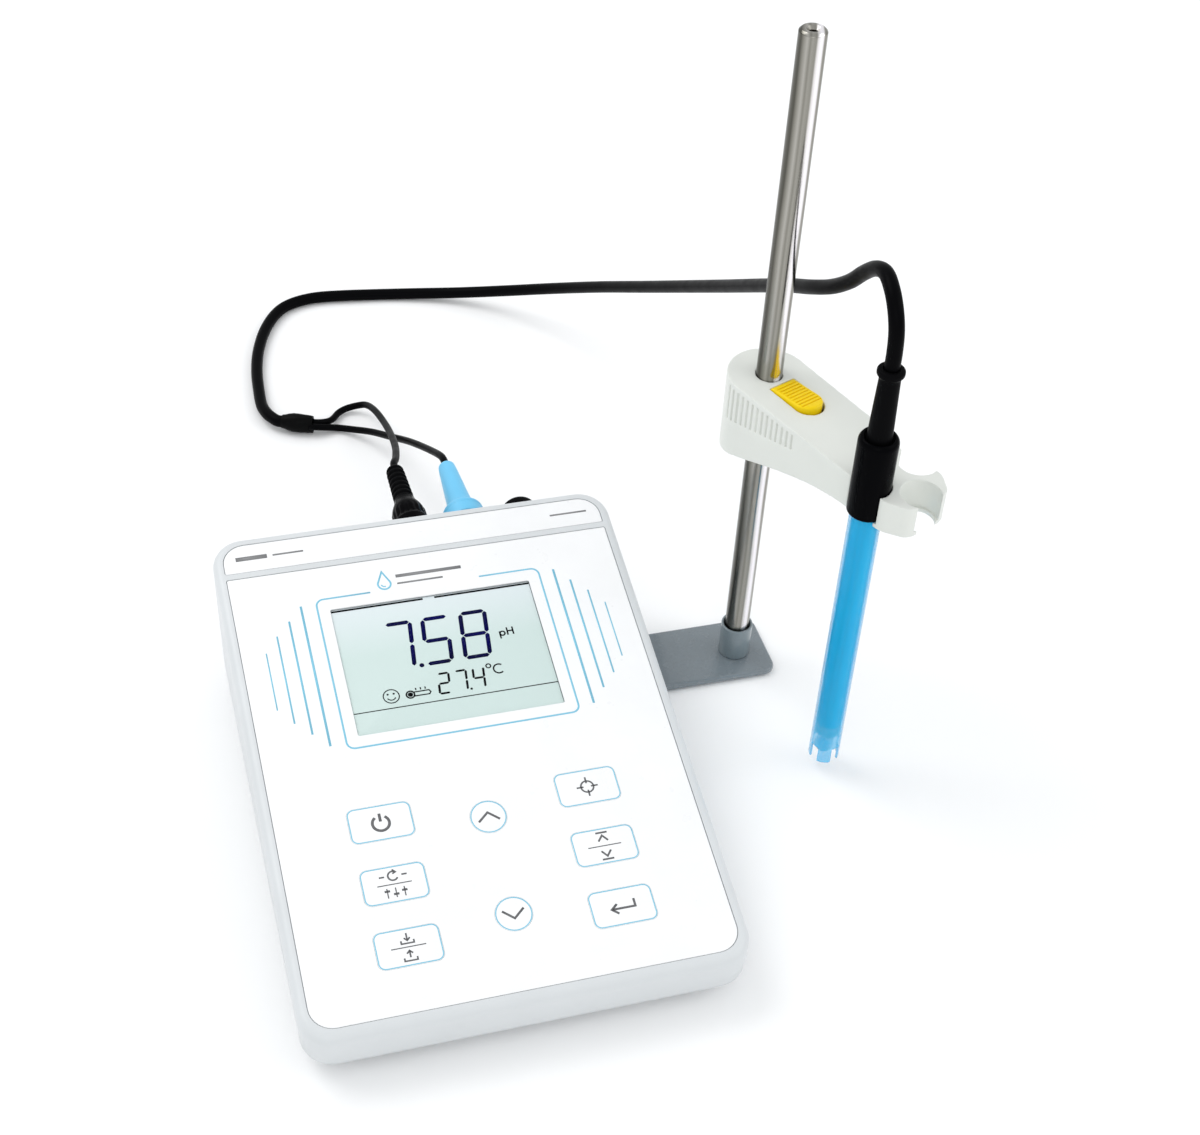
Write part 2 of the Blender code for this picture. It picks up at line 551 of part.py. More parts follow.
def make_stand(materials, bench):
    outline = rounded_rectangle(PLATE_LEFT, PLATE_RIGHT, PLATE_FRONT, PLATE_BACK, [5, 5, 3, 3])
    plate = add_object("base_plate", prism(outline, PLATE_BOTTOM, PLATE_TOP), materials["plate"], bench)
    holes = [shifted(turned([(0, 0), (3.3, 0), (3.3, 2.6), (1.6, 2.6), (1.6, 5), (0, 5)], 16), x, y, 0)
             for x, y in PLATE_SCREWS]
    holes.append(shifted(turned([(0, 0), (4.5, 0), (4.5, 2.4), (2.8, 2.4), (2.8, 5), (0, 5)], 20), ROD_X, ROD_Y, 0))
    boolean(plate, "DIFFERENCE", "tool_plate_holes", joined(holes), bench)
    for number, (x, y) in enumerate(PLATE_SCREWS, 1):
        add_object(f"plate_screw_{number}",
                   turned([(0, 1.1), (2.9, 1.1), (3.0, 2.3), (1.2, 2.3), (1.2, 11.5), (0, 12)], 10),
                   materials["zinc"], bench, (x, y, 0))
    spot = (ROD_X, ROD_Y, 0)
    add_object("plate_pad", turned([(0, 0), (11.6, 0), (12, 0.7), (0, 0.7)], 24), materials["rubber"], bench, spot)
    add_object("rod_screw", turned([(0, 1.1), (4.1, 1.1), (4.2, 2.1), (2.4, 2.1), (2.4, 15), (0, 15.6)], 18),
               materials["zinc"], bench, spot)
    foot = PLATE_TOP + GAP
    inner, outer = ROD_RADIUS + 0.4, 6.5
    add_object("rod_collar", turned([(inner, foot), (outer, foot), (outer, COLLAR_TOP - 0.4),
                                     (outer - 0.4, COLLAR_TOP), (inner + 0.2, COLLAR_TOP), (inner, COLLAR_TOP - 0.4)],
                                    20, ring=True), materials["collar"], bench, spot)
    add_object("rod", turned([(0, 17), (2.8, 16), (2.8, foot), (ROD_RADIUS, foot), (ROD_RADIUS, ROD_TOP - 1.0),
                              (ROD_RADIUS - 0.9, ROD_TOP), (2.4, ROD_TOP), (1.5, ROD_TOP - 1.4),
                              (1.5, ROD_TOP - 6), (0, ROD_TOP - 7)], 20), materials["steel"], bench, spot)


# ---------------------------------------------------------------- electrode holder

def arm_outline():
    """Plan of the holder: round behind the rod, almost parallel sides, blunt head with bevelled corners."""
    front = [(14.3, -75.8), (13.3, -80.6), (10.7, -84.4), (6.1, -86.2)]
    right_side = [(ARM_HALF_FRONT, -50.5), (13.9, -54.5), (11.2, -60.2)] + front
    left_side = [(-x, y) for x, y in reversed(front)] + [(-ARM_HALF_FRONT, -60.5)]
    return arc((0, 0), ARM_HALF_REAR, -8, 188, 12) + left_side[::-1] + right_side[::-1]


def arm_top_at(y):
    return ARM_TOP + ARM_TOP_SLOPE * y


def pocket_tool(spot):
    x, y = spot
    return shifted(turned([(0, 120), (POCKET_MOUTH, 120), (POCKET_MOUTH, POCKET_LEDGE), (POCKET_RADIUS, POCKET_LEDGE),
                           (POCKET_RADIUS, 150), (0, 150)], 24), x, y, 0)


def button_outline(margin=0.0, front_margin=0.0):
    half = BUTTON_HALF + margin
    front = BUTTON_FRONT - front_margin
    round_end = arc((0, front + half), half, 180, 360, 10)
    return round_end + [(half, BUTTON_BACK + margin), (-half, BUTTON_BACK + margin)]


def make_arm(materials, arm):
    holder = add_object("holder_arm", loft([[(x, y, 105) for x, y in arm_outline()],
                                       [(x, y, arm_top_at(y)) for x, y in arm_outline()]]), materials["holder"], arm)
    bevel = holder.modifiers.new("soft_edges", "BEVEL")
    bevel.width = 0.8 * MM
    bevel.segments = 2
    bevel.limit_method = "ANGLE"
    bevel.angle_limit = math.radians(50)
    curve = [(y, z) for y, z in ARM_UNDERSIDE]
    side = curve + [(-95, 90), (25, 90)]
    below = loft([[(-25, y, z) for y, z in side], [(25, y, z) for y, z in side]])
    boolean(holder, "DIFFERENCE", "tool_underside", below, arm)
    bore = turned([(0, 100), (BORE_RADIUS, 100), (BORE_RADIUS, 143), (ROD_RADIUS + 0.4, 143),
                   (ROD_RADIUS + 0.4, 150), (0, 150)], 20)
    button_pocket = prism(button_outline(GAP, 1.1), 135.6, 150)
    pockets = [pocket_tool(spot) for spot in (ELECTRODE_POCKET, FRONT_POCKET, SIDE_POCKET)]
    boolean(holder, "DIFFERENCE", "tool_bore", joined([bore, button_pocket] + pockets), arm)
    hollows = [prism(rounded_rectangle(-12.6, 12.6, -29.2, -9.6, [2] * 4, 3), 100, 133),
               prism(rounded_rectangle(-11.0, 9.6, -55.0, -31.4, [2] * 4, 3), 100, 141.2)]
    boolean(holder, "DIFFERENCE", "tool_hollows", joined(hollows), arm)
    boolean(holder, "DIFFERENCE", "tool_shoe_slot", block(-3.3, 3.3, -10.5, -6.2, 119.7, 130.3), arm)
    grooves = []
    for number in range(GRIP_GROOVES):
        y = GRIP_START - GRIP_PITCH * number
        if y > 0:
            half = math.sqrt(ARM_HALF_REAR ** 2 - y ** 2)
        else:
            half = ARM_HALF_REAR + (ARM_HALF_REAR - ARM_HALF_FRONT) * y / 56
        for side_sign in (-1, 1):
            near, far = sorted((side_sign * (half - GRIP_DEPTH), side_sign * 20))
            high = arm_top_at(y) - 2.4
            low = high - GRIP_LENGTH + GRIP_SHORTENING * number
            grooves.append(block(near, far, y - GRIP_HALF_WIDTH, y + GRIP_HALF_WIDTH, low, high))
    boolean(holder, "DIFFERENCE", "tool_grip_grooves", joined(grooves), arm)


def make_holder_parts(materials, arm):
    add_object("rod_bush", turned([(5.3, 115), (6.7, 115), (6.7, 142.6), (5.3, 142.6)], 20, ring=True),
               materials["bush"], arm)
    add_object("clamp_shoe", block(-3, 3, -9.3, -BORE_RADIUS - 0.1, 120, 130), materials["brass"], arm)
    pivot_y, pivot_z = BUTTON_PIVOT
    outline = [(x, y - pivot_y) for x, y in button_outline()]

    def top_at(y, inset):
        return arm_top_at(y + pivot_y) + 0.4 + 1.9 * (BUTTON_BACK - pivot_y - y) / 19.7 - inset - pivot_z

    rings = [[(x, y, 139.5 - pivot_z) for x, y in outline], [(x, y, top_at(y, 0.7)) for x, y in outline],
             [(x * 0.9, y * 0.96 - 0.3, top_at(y, 0.0)) for x, y in outline]]
    button = add_object("release_button", loft(rings), materials["button"], arm, (0, pivot_y, pivot_z))
    grooves = [block(-4.6, 4.6, -3.0 - 1.75 * number, -2.4 - 1.75 * number, top_at(-3.0 - 1.75 * number, 0.45), 10)
               for number in range(8)]
    boolean(button, "DIFFERENCE", "tool_button_grooves", joined(grooves), arm, (0, pivot_y, pivot_z))
    turns, wire = 2.5, 0.35
    coil = []
    for step in range(int(turns * 10) + 1):
        angle = math.radians(36 * step)
        coil.append((2.4 * math.cos(angle), -20.5 + 2.4 * math.sin(angle), 136.3 + 2.5 * step / (turns * 10)))
    spring = bpy.data.curves.new("button_spring", "CURVE")
    spring.dimensions = "3D"
    spring.bevel_depth = wire * MM
    spring.bevel_resolution = 1
    spring.use_fill_caps = True
    line = spring.splines.new("POLY")
    line.points.add(len(coil) - 1)
    for knot, point in zip(line.points, coil):
        knot.co = (*(Vector(point) * MM), 1.0)
    spring.materials.append(materials["steel"])
    item = bpy.data.objects.new("button_spring", spring)
    bpy.context.scene.collection.objects.link(item)
    item.parent = arm


# ---------------------------------------------------------------- electrode

def make_electrode(materials, arm):
    spot = (*ELECTRODE_POCKET, 0)
    add_object("electrode_cap", turned([
        (0, 141), (6.3, 141), (6.3, CAP_BOTTOM), (7.1, CAP_BOTTOM), (CAP_RADIUS, CAP_BOTTOM + 0.6),
        (CAP_RADIUS, CAP_TOP - 1.2), (CAP_RADIUS - 1.2, CAP_TOP), (5.0, CAP_TOP), (5.0, 158), (0, 158)], 20),
        materials["black"], arm, spot)
    body = add_object("electrode_body", turned([
        (BODY_BORE, BODY_TIP), (BODY_RADIUS - 0.5, BODY_TIP), (BODY_RADIUS, BODY_TIP + 0.6), (BODY_RADIUS, 140.7),
        (BODY_BORE, 140.7)], 20, ring=True), materials["electrode"], arm, spot)
    slots = [block(-9, 9, -1.9, 1.9, 0, 13.5), block(-1.9, 1.9, -9, 9, 0, 13.4)]
    boolean(body, "DIFFERENCE", "tool_guard_slot", slots[0], arm, spot)
    boolean(body, "DIFFERENCE", "tool_guard_slot_across", slots[1], arm, spot)
    carrier = add_object("sensor_carrier", turned([(0, 19), (4.7, 19), (4.7, 24), (0, 24)], 16),
                         materials["holder"], arm, spot)
    stem_x, probe_x = -0.9, 3.9
    holes = [shifted(turned([(0, 10), (2.5, 10), (2.5, 30), (0, 30)], 12), stem_x, 0, 0),
             shifted(turned([(0, 10), (0.9, 10), (0.9, 30), (0, 30)], 10), probe_x - 0.3, 0, 0)]
    boolean(carrier, "DIFFERENCE", "tool_carrier_holes", joined(holes), arm, spot)
    bulb = [(0, 8.6)] + [(3.6 * math.cos(math.radians(a)), 12.2 + 3.6 * math.sin(math.radians(a)))
                         for a in (-60, -30, 0, 30)] + [(2.1, 15.4), (2.1, 128), (0, 128)]
    x, y, z = spot
    add_object("glass_bulb", turned(bulb, 14), materials["glass"], arm, (x + stem_x, y, z))
    add_object("temperature_probe", turned([(0, 9), (0.4, 9.2), (0.6, 9.8), (0.6, 128), (0, 128)], 10),
               materials["steel"], arm, (x + probe_x - 0.3, y, z))
    add_object("strain_relief", turned([
        (0, 158.3), (4.6, 158.3), (4.6, 165.6), (4.5, 168), (3.85, 189.6), (3.9, 190.4), (4.7, 191.6), (4.95, 192.6),
        (4.7, 193.6), (4.0, RELIEF_TOP), (0, RELIEF_TOP)], 16), materials["rubber"], arm, spot)


# ---------------------------------------------------------------- cable

def arm_to_bench(point):
    x, y, z = point
    return Vector((ROD_X + x * math.cos(ARM_ANGLE) - y * math.sin(ARM_ANGLE),
                   ROD_Y + x * math.sin(ARM_ANGLE) + y * math.cos(ARM_ANGLE), z))


def make_cable(materials, bench):
    exit_point = arm_to_bench((*ELECTRODE_POCKET, RELIEF_TOP + GAP))
    split = Vector(CABLE_SPLIT)
    onward = (Vector(LYING_ROUTE[0]) - Vector(HANGING_ROUTE[-1])).normalized()
    along = (JOINT_END - JOINT_START).normalized()
    hanging = [exit_point, exit_point + Vector((0, 0, 6))] + HANGING_ROUTE + [split]
    add_cord("cable_hanging", hanging, BEND_POINT_EVERY, CABLE_DIAMETER, materials["black"], bench, 2)
    lying = [split + onward * GAP] + LYING_ROUTE + [JOINT_START - along * CABLE_STRAIGHT, JOINT_START - along * GAP]
    add_cord("cable_lying", lying, CABLE_POINT_EVERY, CABLE_DIAMETER, materials["black"], bench, 2)
    length = (JOINT_END - JOINT_START).length
    heading = along.to_track_quat("Z", "Y").to_euler()
    add_object("cable_joint", turned([
        (0, 0), (3.4, 0), (3.9, 1.0), (4.5, 4.5), (4.6, length - 5), (4.3, length - 1.5), (3.8, length),
        (0, length)], 16), materials["rubber"], bench, JOINT_START, heading)
    side = Vector((-along.y, along.x, 0)) * LEAD_SPREAD
    for name, route, socket_x, end_y, offset in (
            ("probe_lead", PROBE_LEAD_ROUTE, PROBE_SOCKET_X, 132 + GAP, side),
            ("electrode_lead", ELECTRODE_LEAD_ROUTE, ELECTRODE_SOCKET_X, 130 + GAP, -side)):
        begin = JOINT_END + along * GAP + offset
        points = [begin, begin + along * LEAD_STRAIGHT] + route + [(socket_x, end_y, CONNECTOR_HEIGHT)]
        add_cord(name, points, LEAD_POINT_EVERY, LEAD_DIAMETER, materials["black"], bench, 2)


# ---------------------------------------------------------------- assembly

def build():
    clear_scene()
    materials = make_materials()
    bench = frame_empty("bench", None, (-ORIGIN[0], -ORIGIN[1], 0))
    panel = frame_empty("panel", bench, (0, 0, PANEL_HEIGHT), (PANEL_TILT, 0, 0))
    arm = frame_empty("arm", bench, (ROD_X, ROD_Y, 0), (0, 0, ARM_ANGLE))
    make_upper_case(materials, bench, panel)
    make_lower_case(materials, bench)
    make_case_fasteners(materials, bench)
    make_labels(materials, panel)
    make_keys(materials, panel)
    make_display(materials, panel)
    make_board(materials, panel)
    make_sockets(materials, bench)
    make_plugs(materials, bench)
    make_stand(materials, bench)
    make_arm(materials, arm)
    make_holder_parts(materials, arm)
    make_electrode(materials, arm)
    make_cable(materials, bench)
    bpy.context.view_layer.update()


build()
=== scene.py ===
"""Looks of the bench pH meter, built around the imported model.

Shapes are drawn in millimetres in one of three frames, and each finished piece is moved into the model's
own frame, in metres:
  BENCH  x to the right, y to the back, z up from the table, at the middle of the case
  PANEL  lies in the sloping front panel: x to the right, y up the slope, z out of it
  ARM    on the rod's axis: -y runs along the electrode holder, from the rod to its head
"""
import math

import bmesh
import bpy
from mathutils import Matrix, Vector


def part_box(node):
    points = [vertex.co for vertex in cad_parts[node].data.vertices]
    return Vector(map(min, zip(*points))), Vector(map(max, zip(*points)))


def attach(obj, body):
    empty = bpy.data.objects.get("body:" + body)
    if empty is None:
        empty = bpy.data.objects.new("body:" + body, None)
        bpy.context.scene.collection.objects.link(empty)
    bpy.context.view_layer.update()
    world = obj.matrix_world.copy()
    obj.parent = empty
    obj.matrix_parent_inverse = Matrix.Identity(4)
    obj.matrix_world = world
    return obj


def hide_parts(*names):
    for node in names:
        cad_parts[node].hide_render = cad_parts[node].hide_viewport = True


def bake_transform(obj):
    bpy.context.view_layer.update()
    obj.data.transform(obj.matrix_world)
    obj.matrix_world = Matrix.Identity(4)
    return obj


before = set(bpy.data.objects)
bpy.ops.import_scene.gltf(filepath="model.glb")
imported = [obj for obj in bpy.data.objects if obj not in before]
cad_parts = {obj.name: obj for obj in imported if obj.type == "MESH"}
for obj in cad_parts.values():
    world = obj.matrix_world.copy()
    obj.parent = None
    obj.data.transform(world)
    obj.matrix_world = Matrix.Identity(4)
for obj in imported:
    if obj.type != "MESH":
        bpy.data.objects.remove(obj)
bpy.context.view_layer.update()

MM = 0.001
GAP = 0.3


# ---------------------------------------------------------------- frames and sizes

def middle(node):
    low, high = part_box(node)
    return (low + high) / 2


def shift(x, y, z):
    return Matrix.Translation(Vector((x, y, z)) * MM)


PANEL_TILT = math.radians(11.5)
PANEL_HEIGHT = 50.0
ARM_ANGLE = math.radians(22.5)
CASE_WIDTH = 160.0
CASE_FRONT, CASE_REAR = -128.5, 82.6
CASE_CORNER = 12.0
CASE_EDGE = 3.2
WALL = 2.4
PARTING_HEIGHT = 10.0
UNDERSIDE = 4.0
CASE_SCREWS = [(-66, -92), (66, -92), (-38, 68), (38, 68)]
PLATE_SCREWS = [(20, 41.8), (60, 41.8)]
FEET = {"foot_left_front": (-60, -108), "foot_right_front": (60, -108),
        "foot_left_rear": (-60, 66), "foot_right_rear": (60, 66)}

CASE_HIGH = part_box("upper_case")[1]
BENCH = Matrix.Translation((middle("upper_case").x, CASE_HIGH.y - CASE_REAR * MM, 0))
PANEL = BENCH @ shift(0, 0, PANEL_HEIGHT) @ Matrix.Rotation(PANEL_TILT, 4, "X")
ROD_AT = middle("rod")
ARM = Matrix.Translation((ROD_AT.x, ROD_AT.y, 0)) @ Matrix.Rotation(ARM_ANGLE, 4, "Z")

# Panel, in its own frame
RECESS = -0.9
FILM_TOP, FILM_LOW = -0.1, -0.6
KEY_TOP = -0.02
OVERLAY = (75.8, -126.6, 63.9)         # half width, lower edge, upper edge
HEADER = (75.8, 66.9, 80.0)
LABEL_CORNER = 8.5
SQUARE_CORNER = 0.6                    # where the two labels face each other
LABEL_EDGE = 0.12
PRINT_SUNK, PRINT_RAISED = 0.01, 0.03
DISPLAY = (39.3, -15.2, 43.2)
DISPLAY_FACE = -0.9
KEY_HALF = (11.6, 7.2)
KEY_CORNER = 2.8
ROUND_KEY_RADIUS = 6.7
KEY_COLUMN = 38.3
KEYS = {
    "key_power": (-KEY_COLUMN, -52.7), "key_mode": (-KEY_COLUMN, -77.8),
    "key_memory": (-KEY_COLUMN, -102.5), "key_cal": (KEY_COLUMN, -52.7),
    "key_max_min": (KEY_COLUMN, -77.8), "key_enter": (KEY_COLUMN, -102.5),
}
ROUND_KEYS = {"key_up": (0.0, -57.9), "key_down": (0.0, -97.6)}

# Rear connectors
CONNECTOR_HEIGHT = 50.0
PROBE_X, ELECTRODE_X, SUPPLY_X = 3.4, 25.4, 48.2
FACE = CASE_REAR + GAP

# Stand and holder
ROD_RADIUS = 5.0
ROD_FOOT, ROD_TOP = 3.8, 286.0
ROD_X, ROD_Y = 129.5, 40.7
ARM_TOP, ARM_TOP_SLOPE = 146.4, 0.042
ARM_HALF_REAR, ARM_HALF_FRONT = 15.8, 14.6
ARM_UNDERSIDE = [(20, 113.8), (12, 113.0), (4, 113.8), (-8, 117.4), (-22, 122.4), (-38, 127.0),
                 (-50, 129.2), (-60, 129.7), (-97, 129.7)]
ELECTRODE_POCKET = (-11.6, -67.6)
POCKETS = [ELECTRODE_POCKET, (0.0, -81.4), (11.6, -67.6)]
POCKET_RADIUS, POCKET_MOUTH, POCKET_LEDGE = 7.7, 6.5, 131.3
BUTTON_BACK, BUTTON_FRONT, BUTTON_HALF = -7.2, -26.9, 5.8
BUTTON_ABOVE, BUTTON_RISE = 0.35, 2.1  # above the holder at the rod's end, and the rise to the round end
BUTTON_EDGE = 0.9
RIDGES, RIDGE_START, RIDGE_PITCH = 9, -9.6, 1.72
SPRING_AT = -20.5
GRIP_GROOVES, GRIP_START, GRIP_PITCH = 14, 4.5, 2.65
GRIP_DEPTH, GRIP_HALF_WIDTH = 0.95, 0.5
GRIP_LENGTH, GRIP_SHORTENING = 15.2, 0.66
RELIEF_TOP = 194.0
LINER_RADIUS = 4.85
# Fixed direction across which the painted reflections on the rod and the electrode's tube are laid
PAINTED_REFLECTION_TURN = math.radians(-16)

# Cords, along the same routes as in the model
CABLE_DIAMETER = 5.6
LEAD_DIAMETER = 3.2
CORD_POINT_EVERY = 1.6
JOINT_START, JOINT_END = Vector((-30.0, 234.1, 4.9)), Vector((-17.0, 229.0, 4.9))
CABLE_SPLIT = Vector((143.8, 62.5, 169.6))
HANGING_ROUTE = [(144.3, -25.6, 208.5), (144.2, -22.6, 214.8), (144.7, -16.7, 219.0),
                 (145.7, -8.2, 220.1), (146.3, 1, 216), (146.6, 10.1, 208.4), (146.3, 19.3, 199),
                 (145.3, 31, 189.4), (144.2, 45.2, 180.1)]
CABLE_STRAIGHT = 2.8                   # straight run of the cable into its joint
LEAD_STRAIGHT = 1.5                    # straight run of a lead out of the joint
LEAD_START = 1.2                       # how far inside the joint a lead begins
LEAD_SPREAD = 1.8                      # half the distance between the two leads there
LYING_ROUTE = [(145.2, 94, 149), (145.4, 129, 126), (143, 170, 99.5), (137, 212.5, 72.5),
               (127.5, 252, 48), (113.5, 285, 27.5), (94.8, 308, 13.6), (73.5, 322.5, 5.8),
               (45.2, 331.4, 3.0), (14.8, 335.8, 3.0), (-0.5, 336.3, 3.0), (-12.5, 332.5, 3.0),
               (-20.5, 324.8, 3.0), (-27.5, 312.0, 3.0), (-33.1, 295.2, 3.0), (-36.2, 278.7, 3.0),
               (-37.6, 262.2, 3.2), (-38.0, 250.5, 3.6), (-36.6, 242.6, 4.3), (-34.8, 238.4, 4.7)]
PROBE_LEAD_ROUTE = [(-9.9, 231.2, 3.8), (-6.6, 234.1, 2.9), (-3.5, 238.5, 2.4), (0.5, 240.9, 2.6),
                    (5.6, 240.5, 3.9), (9.7, 236.1, 7.0), (11.7, 223.5, 12.6), (12.6, 203.3, 20),
                    (11.6, 181, 29.6), (9.4, 160.5, 39), (6.4, 144.4, 46.2), (4.2, 137.2, 49.2)]
ELECTRODE_LEAD_ROUTE = [(-6.7, 227.6, 2.4), (0, 223.9, 3.2), (8.1, 213, 8.5), (13.6, 198.2, 16.2),
                        (18.9, 178.8, 27.2), (22.6, 159.5, 37.6), (24.9, 142.5, 46.6),
                        (25.4, 135.5, 49.4)]


# ---------------------------------------------------------------- camera

def make_camera():
    camera = bpy.data.objects.new("camera", bpy.data.cameras.new("camera"))
    bpy.context.scene.collection.objects.link(camera)
    camera.location = (-0.1634, -0.5072, 0.5840)
    camera.rotation_euler = [math.radians(angle) for angle in (48.60, -2.82, -15.67)]
    camera.data.sensor_width = 36.0
    camera.data.lens = 60.03
    bpy.context.scene.camera = camera


make_camera()


# ---------------------------------------------------------------- materials

class Look:
    """A material: one Principled shader, with procedural detail wired to its sockets."""

    def __init__(self, name, colour, roughness, metallic=0.0, **fixed):
        self.material = bpy.data.materials.new(name)
        self.material.use_nodes = True
        self.nodes = self.material.node_tree.nodes
        self.link = self.material.node_tree.links.new
        self.shader = self.nodes["Principled BSDF"]
        self.colour = colour
        self.set("Base Color", (*colour, 1.0))
        self.set("Roughness", roughness)
        self.set("Metallic", metallic)
        for socket, value in fixed.items():
            self.set(socket.replace("_", " "), value)

    def set(self, socket, value):
        self.shader.inputs[socket].default_value = value

    def node(self, kind, **values):
        made = self.nodes.new("ShaderNode" + kind)
        for socket, value in values.items():
            made.inputs[socket.replace("_", " ")].default_value = value
        return made

    def place(self, stretch=(1, 1, 1)):
        mapping = self.node("Mapping", Scale=stretch)
        self.link(self.node("TexCoord").outputs["Object"], mapping.inputs["Vector"])
        return mapping.outputs["Vector"]

    def noise(self, scale, detail=2.0, stretch=(1, 1, 1)):
        texture = self.node("TexNoise", Scale=scale, Detail=detail)
        self.link(self.place(stretch), texture.inputs["Vector"])
        return texture.outputs["Fac"]

    def reach(self, axis):
        """How far a point lies along one axis of the model, in metres."""
        split = self.node("SeparateXYZ")
        self.link(self.place(), split.inputs["Vector"])
        return split.outputs[axis]

    def spots(self, scale):
        texture = self.node("TexVoronoi", Scale=scale)
        self.link(self.place(), texture.inputs["Vector"])
        return texture.outputs["Distance"]

    def ranged(self, factor, low, high, start=0.3, end=0.7):
        mapped = self.node("MapRange", From_Min=start, From_Max=end, To_Min=low, To_Max=high)
        self.link(factor, mapped.inputs["Value"])
        return mapped.outputs["Result"]

    def vary(self, socket, factor, low, high):
        self.link(self.ranged(factor, low, high), self.shader.inputs[socket])
        return self

    def tint(self, factor, other, start=0.3, end=0.7):
        """Blends the base colour towards another one where the factor is high."""
        mix = self.node("Mix")
        mix.data_type = "RGBA"
        mix.inputs["A"].default_value = (*self.colour, 1.0)
        mix.inputs["B"].default_value = (*other, 1.0)
        self.link(self.ranged(factor, 0.0, 1.0, start, end), mix.inputs["Factor"])
        self.link(mix.outputs["Result"], self.shader.inputs["Base Color"])
        return self

    def bump(self, factor, depth, strength=1.0):
        relief = self.node("Bump", Strength=strength, Distance=depth * MM)
        self.link(factor, relief.inputs["Height"])
        before = self.shader.inputs["Normal"].links
        if before:
            self.link(before[0].from_socket, relief.inputs["Normal"])
        self.link(relief.outputs["Normal"], self.shader.inputs["Normal"])
        return self


def moulded(name, colour, roughness, grain=2600, depth=0.012, **fixed):
    """Injection-moulded plastic: a fine eroded texture, slightly uneven gloss and colour."""
    look = Look(name, colour, roughness, **fixed)
    darker = [channel * 0.965 for channel in colour]
    look.tint(look.noise(45, 3), darker)
    look.vary("Roughness", look.noise(160, 3), roughness - 0.05, roughness + 0.06)
    look.bump(look.noise(grain, 3), depth, 0.6)
    return look


def metal(name, colour, roughness, grain, stretch, depth=0.004):
    """Bare metal with fine directional scratches."""
    look = Look(name, colour, roughness, 1.0)
    look.tint(look.noise(30, 4), [channel * 0.9 for channel in colour])
    look.vary("Roughness", look.noise(grain, 4, stretch), roughness - 0.06, roughness + 0.08)
    look.bump(look.noise(grain, 3, stretch), depth, 0.5)
    return look


def painted(name, colour, roughness):
    """Powder coat: orange peel, with a faint sparkle of lighter and darker grains."""
    look = Look(name, colour, roughness, Coat_Weight=0.55, Coat_Roughness=0.08)
    look.tint(look.noise(2200, 2), [min(1.0, channel * 1.12) for channel in colour])
    look.vary("Roughness", look.noise(250, 2), roughness - 0.04, roughness + 0.06)
    look.bump(look.noise(420, 2), 0.03, 0.35)
    return look


# Painted reflection, highlight and shade on round bars: streaks by place across the width, from 0 on the
# left to 1 on the right
# The rod's painted reflection: dark and light levels
ROD_PAINTED_REFLECTION = [(0.0, 0.10), (0.10, 0.085), (0.17, 0.22), (0.30, 0.42), (0.40, 0.24), (0.47, 0.33),
               (0.60, 0.27), (0.66, 0.75), (0.76, 1.0), (0.83, 0.9), (0.88, 0.30), (0.95, 0.20),
               (1.0, 0.40)]
# The electrode tube's painted highlight and shade: darker edges, a bright highlight right of the middle, and
# two painted dark lines where the inner glass tube's edges show
TUBE_PAINTED_SHEEN = [(0.0, (0.0, 0.22, 0.46)), (0.07, (0.0, 0.50, 0.82)), (0.19, (0.0, 0.58, 0.90)),
                (0.24, (0.0, 0.03, 0.08)), (0.29, (0.0, 0.58, 0.90)), (0.40, (0.0, 0.60, 0.92)),
                (0.44, (0.0, 0.03, 0.08)), (0.49, (0.0, 0.64, 0.95)), (0.70, (0.01, 0.74, 0.99)),
                (0.77, (0.30, 0.92, 1.0)), (0.83, (0.0, 0.70, 0.97)), (0.95, (0.0, 0.50, 0.84)),
                (1.0, (0.0, 0.28, 0.55))]


def painted_reflection_streaks(look, centre, radius, stops, low=0.49, high=0.51):
    """Colours a round bar with a painted reflection: lengthwise light and dark streaks that stand in for
    reflected light and shade.
    They lie across one fixed direction, PAINTED_REFLECTION_TURN from x, so they read from left to right from
    the front and look different from the sides."""
    mapping = look.node("Mapping")
    mapping.vector_type = "TEXTURE"
    mapping.inputs["Location"].default_value = centre
    mapping.inputs["Rotation"].default_value = (0, 0, PAINTED_REFLECTION_TURN)
    mapping.inputs["Scale"].default_value = [radius * 2 * MM] * 3
    look.link(look.node("TexCoord").outputs["Object"], mapping.inputs["Vector"])
    split = look.node("SeparateXYZ")
    look.link(mapping.outputs["Vector"], split.inputs["Vector"])
    ramp = look.node("ValToRGB")
    ends = ramp.color_ramp.elements
    for index, (place, colour) in enumerate(stops):
        last = index == len(stops) - 1
        stop = ends[-1] if last else ends.new(place) if index else ends[0]
        stop.position = place
        stop.color = (*colour, 1.0)
    wobble = look.node("Math")
    wobble.operation = "ADD"
    look.link(split.outputs["X"], wobble.inputs[0])
    look.link(look.ranged(look.noise(55, 1, (1, 1, 0.25)), low, high), wobble.inputs[1])
    look.link(wobble.outputs["Value"], ramp.inputs["Fac"])
    look.link(ramp.outputs["Color"], look.shader.inputs["Base Color"])
    return look


def drawn_steel():
    """Bright drawn bar: a painted reflection of light and dark streaks along it, and fine draw marks."""
    look = metal("stainless_rod", (0.5, 0.48, 0.43), 0.22, 900, (1, 1, 0.03), 0.003)
    stops = [(place, (level, level * 0.965, level * (0.80 + 0.2 * level)))
             for place, level in ROD_PAINTED_REFLECTION]
    return painted_reflection_streaks(look, ROD_AT, ROD_RADIUS, stops, 0.47, 0.53)


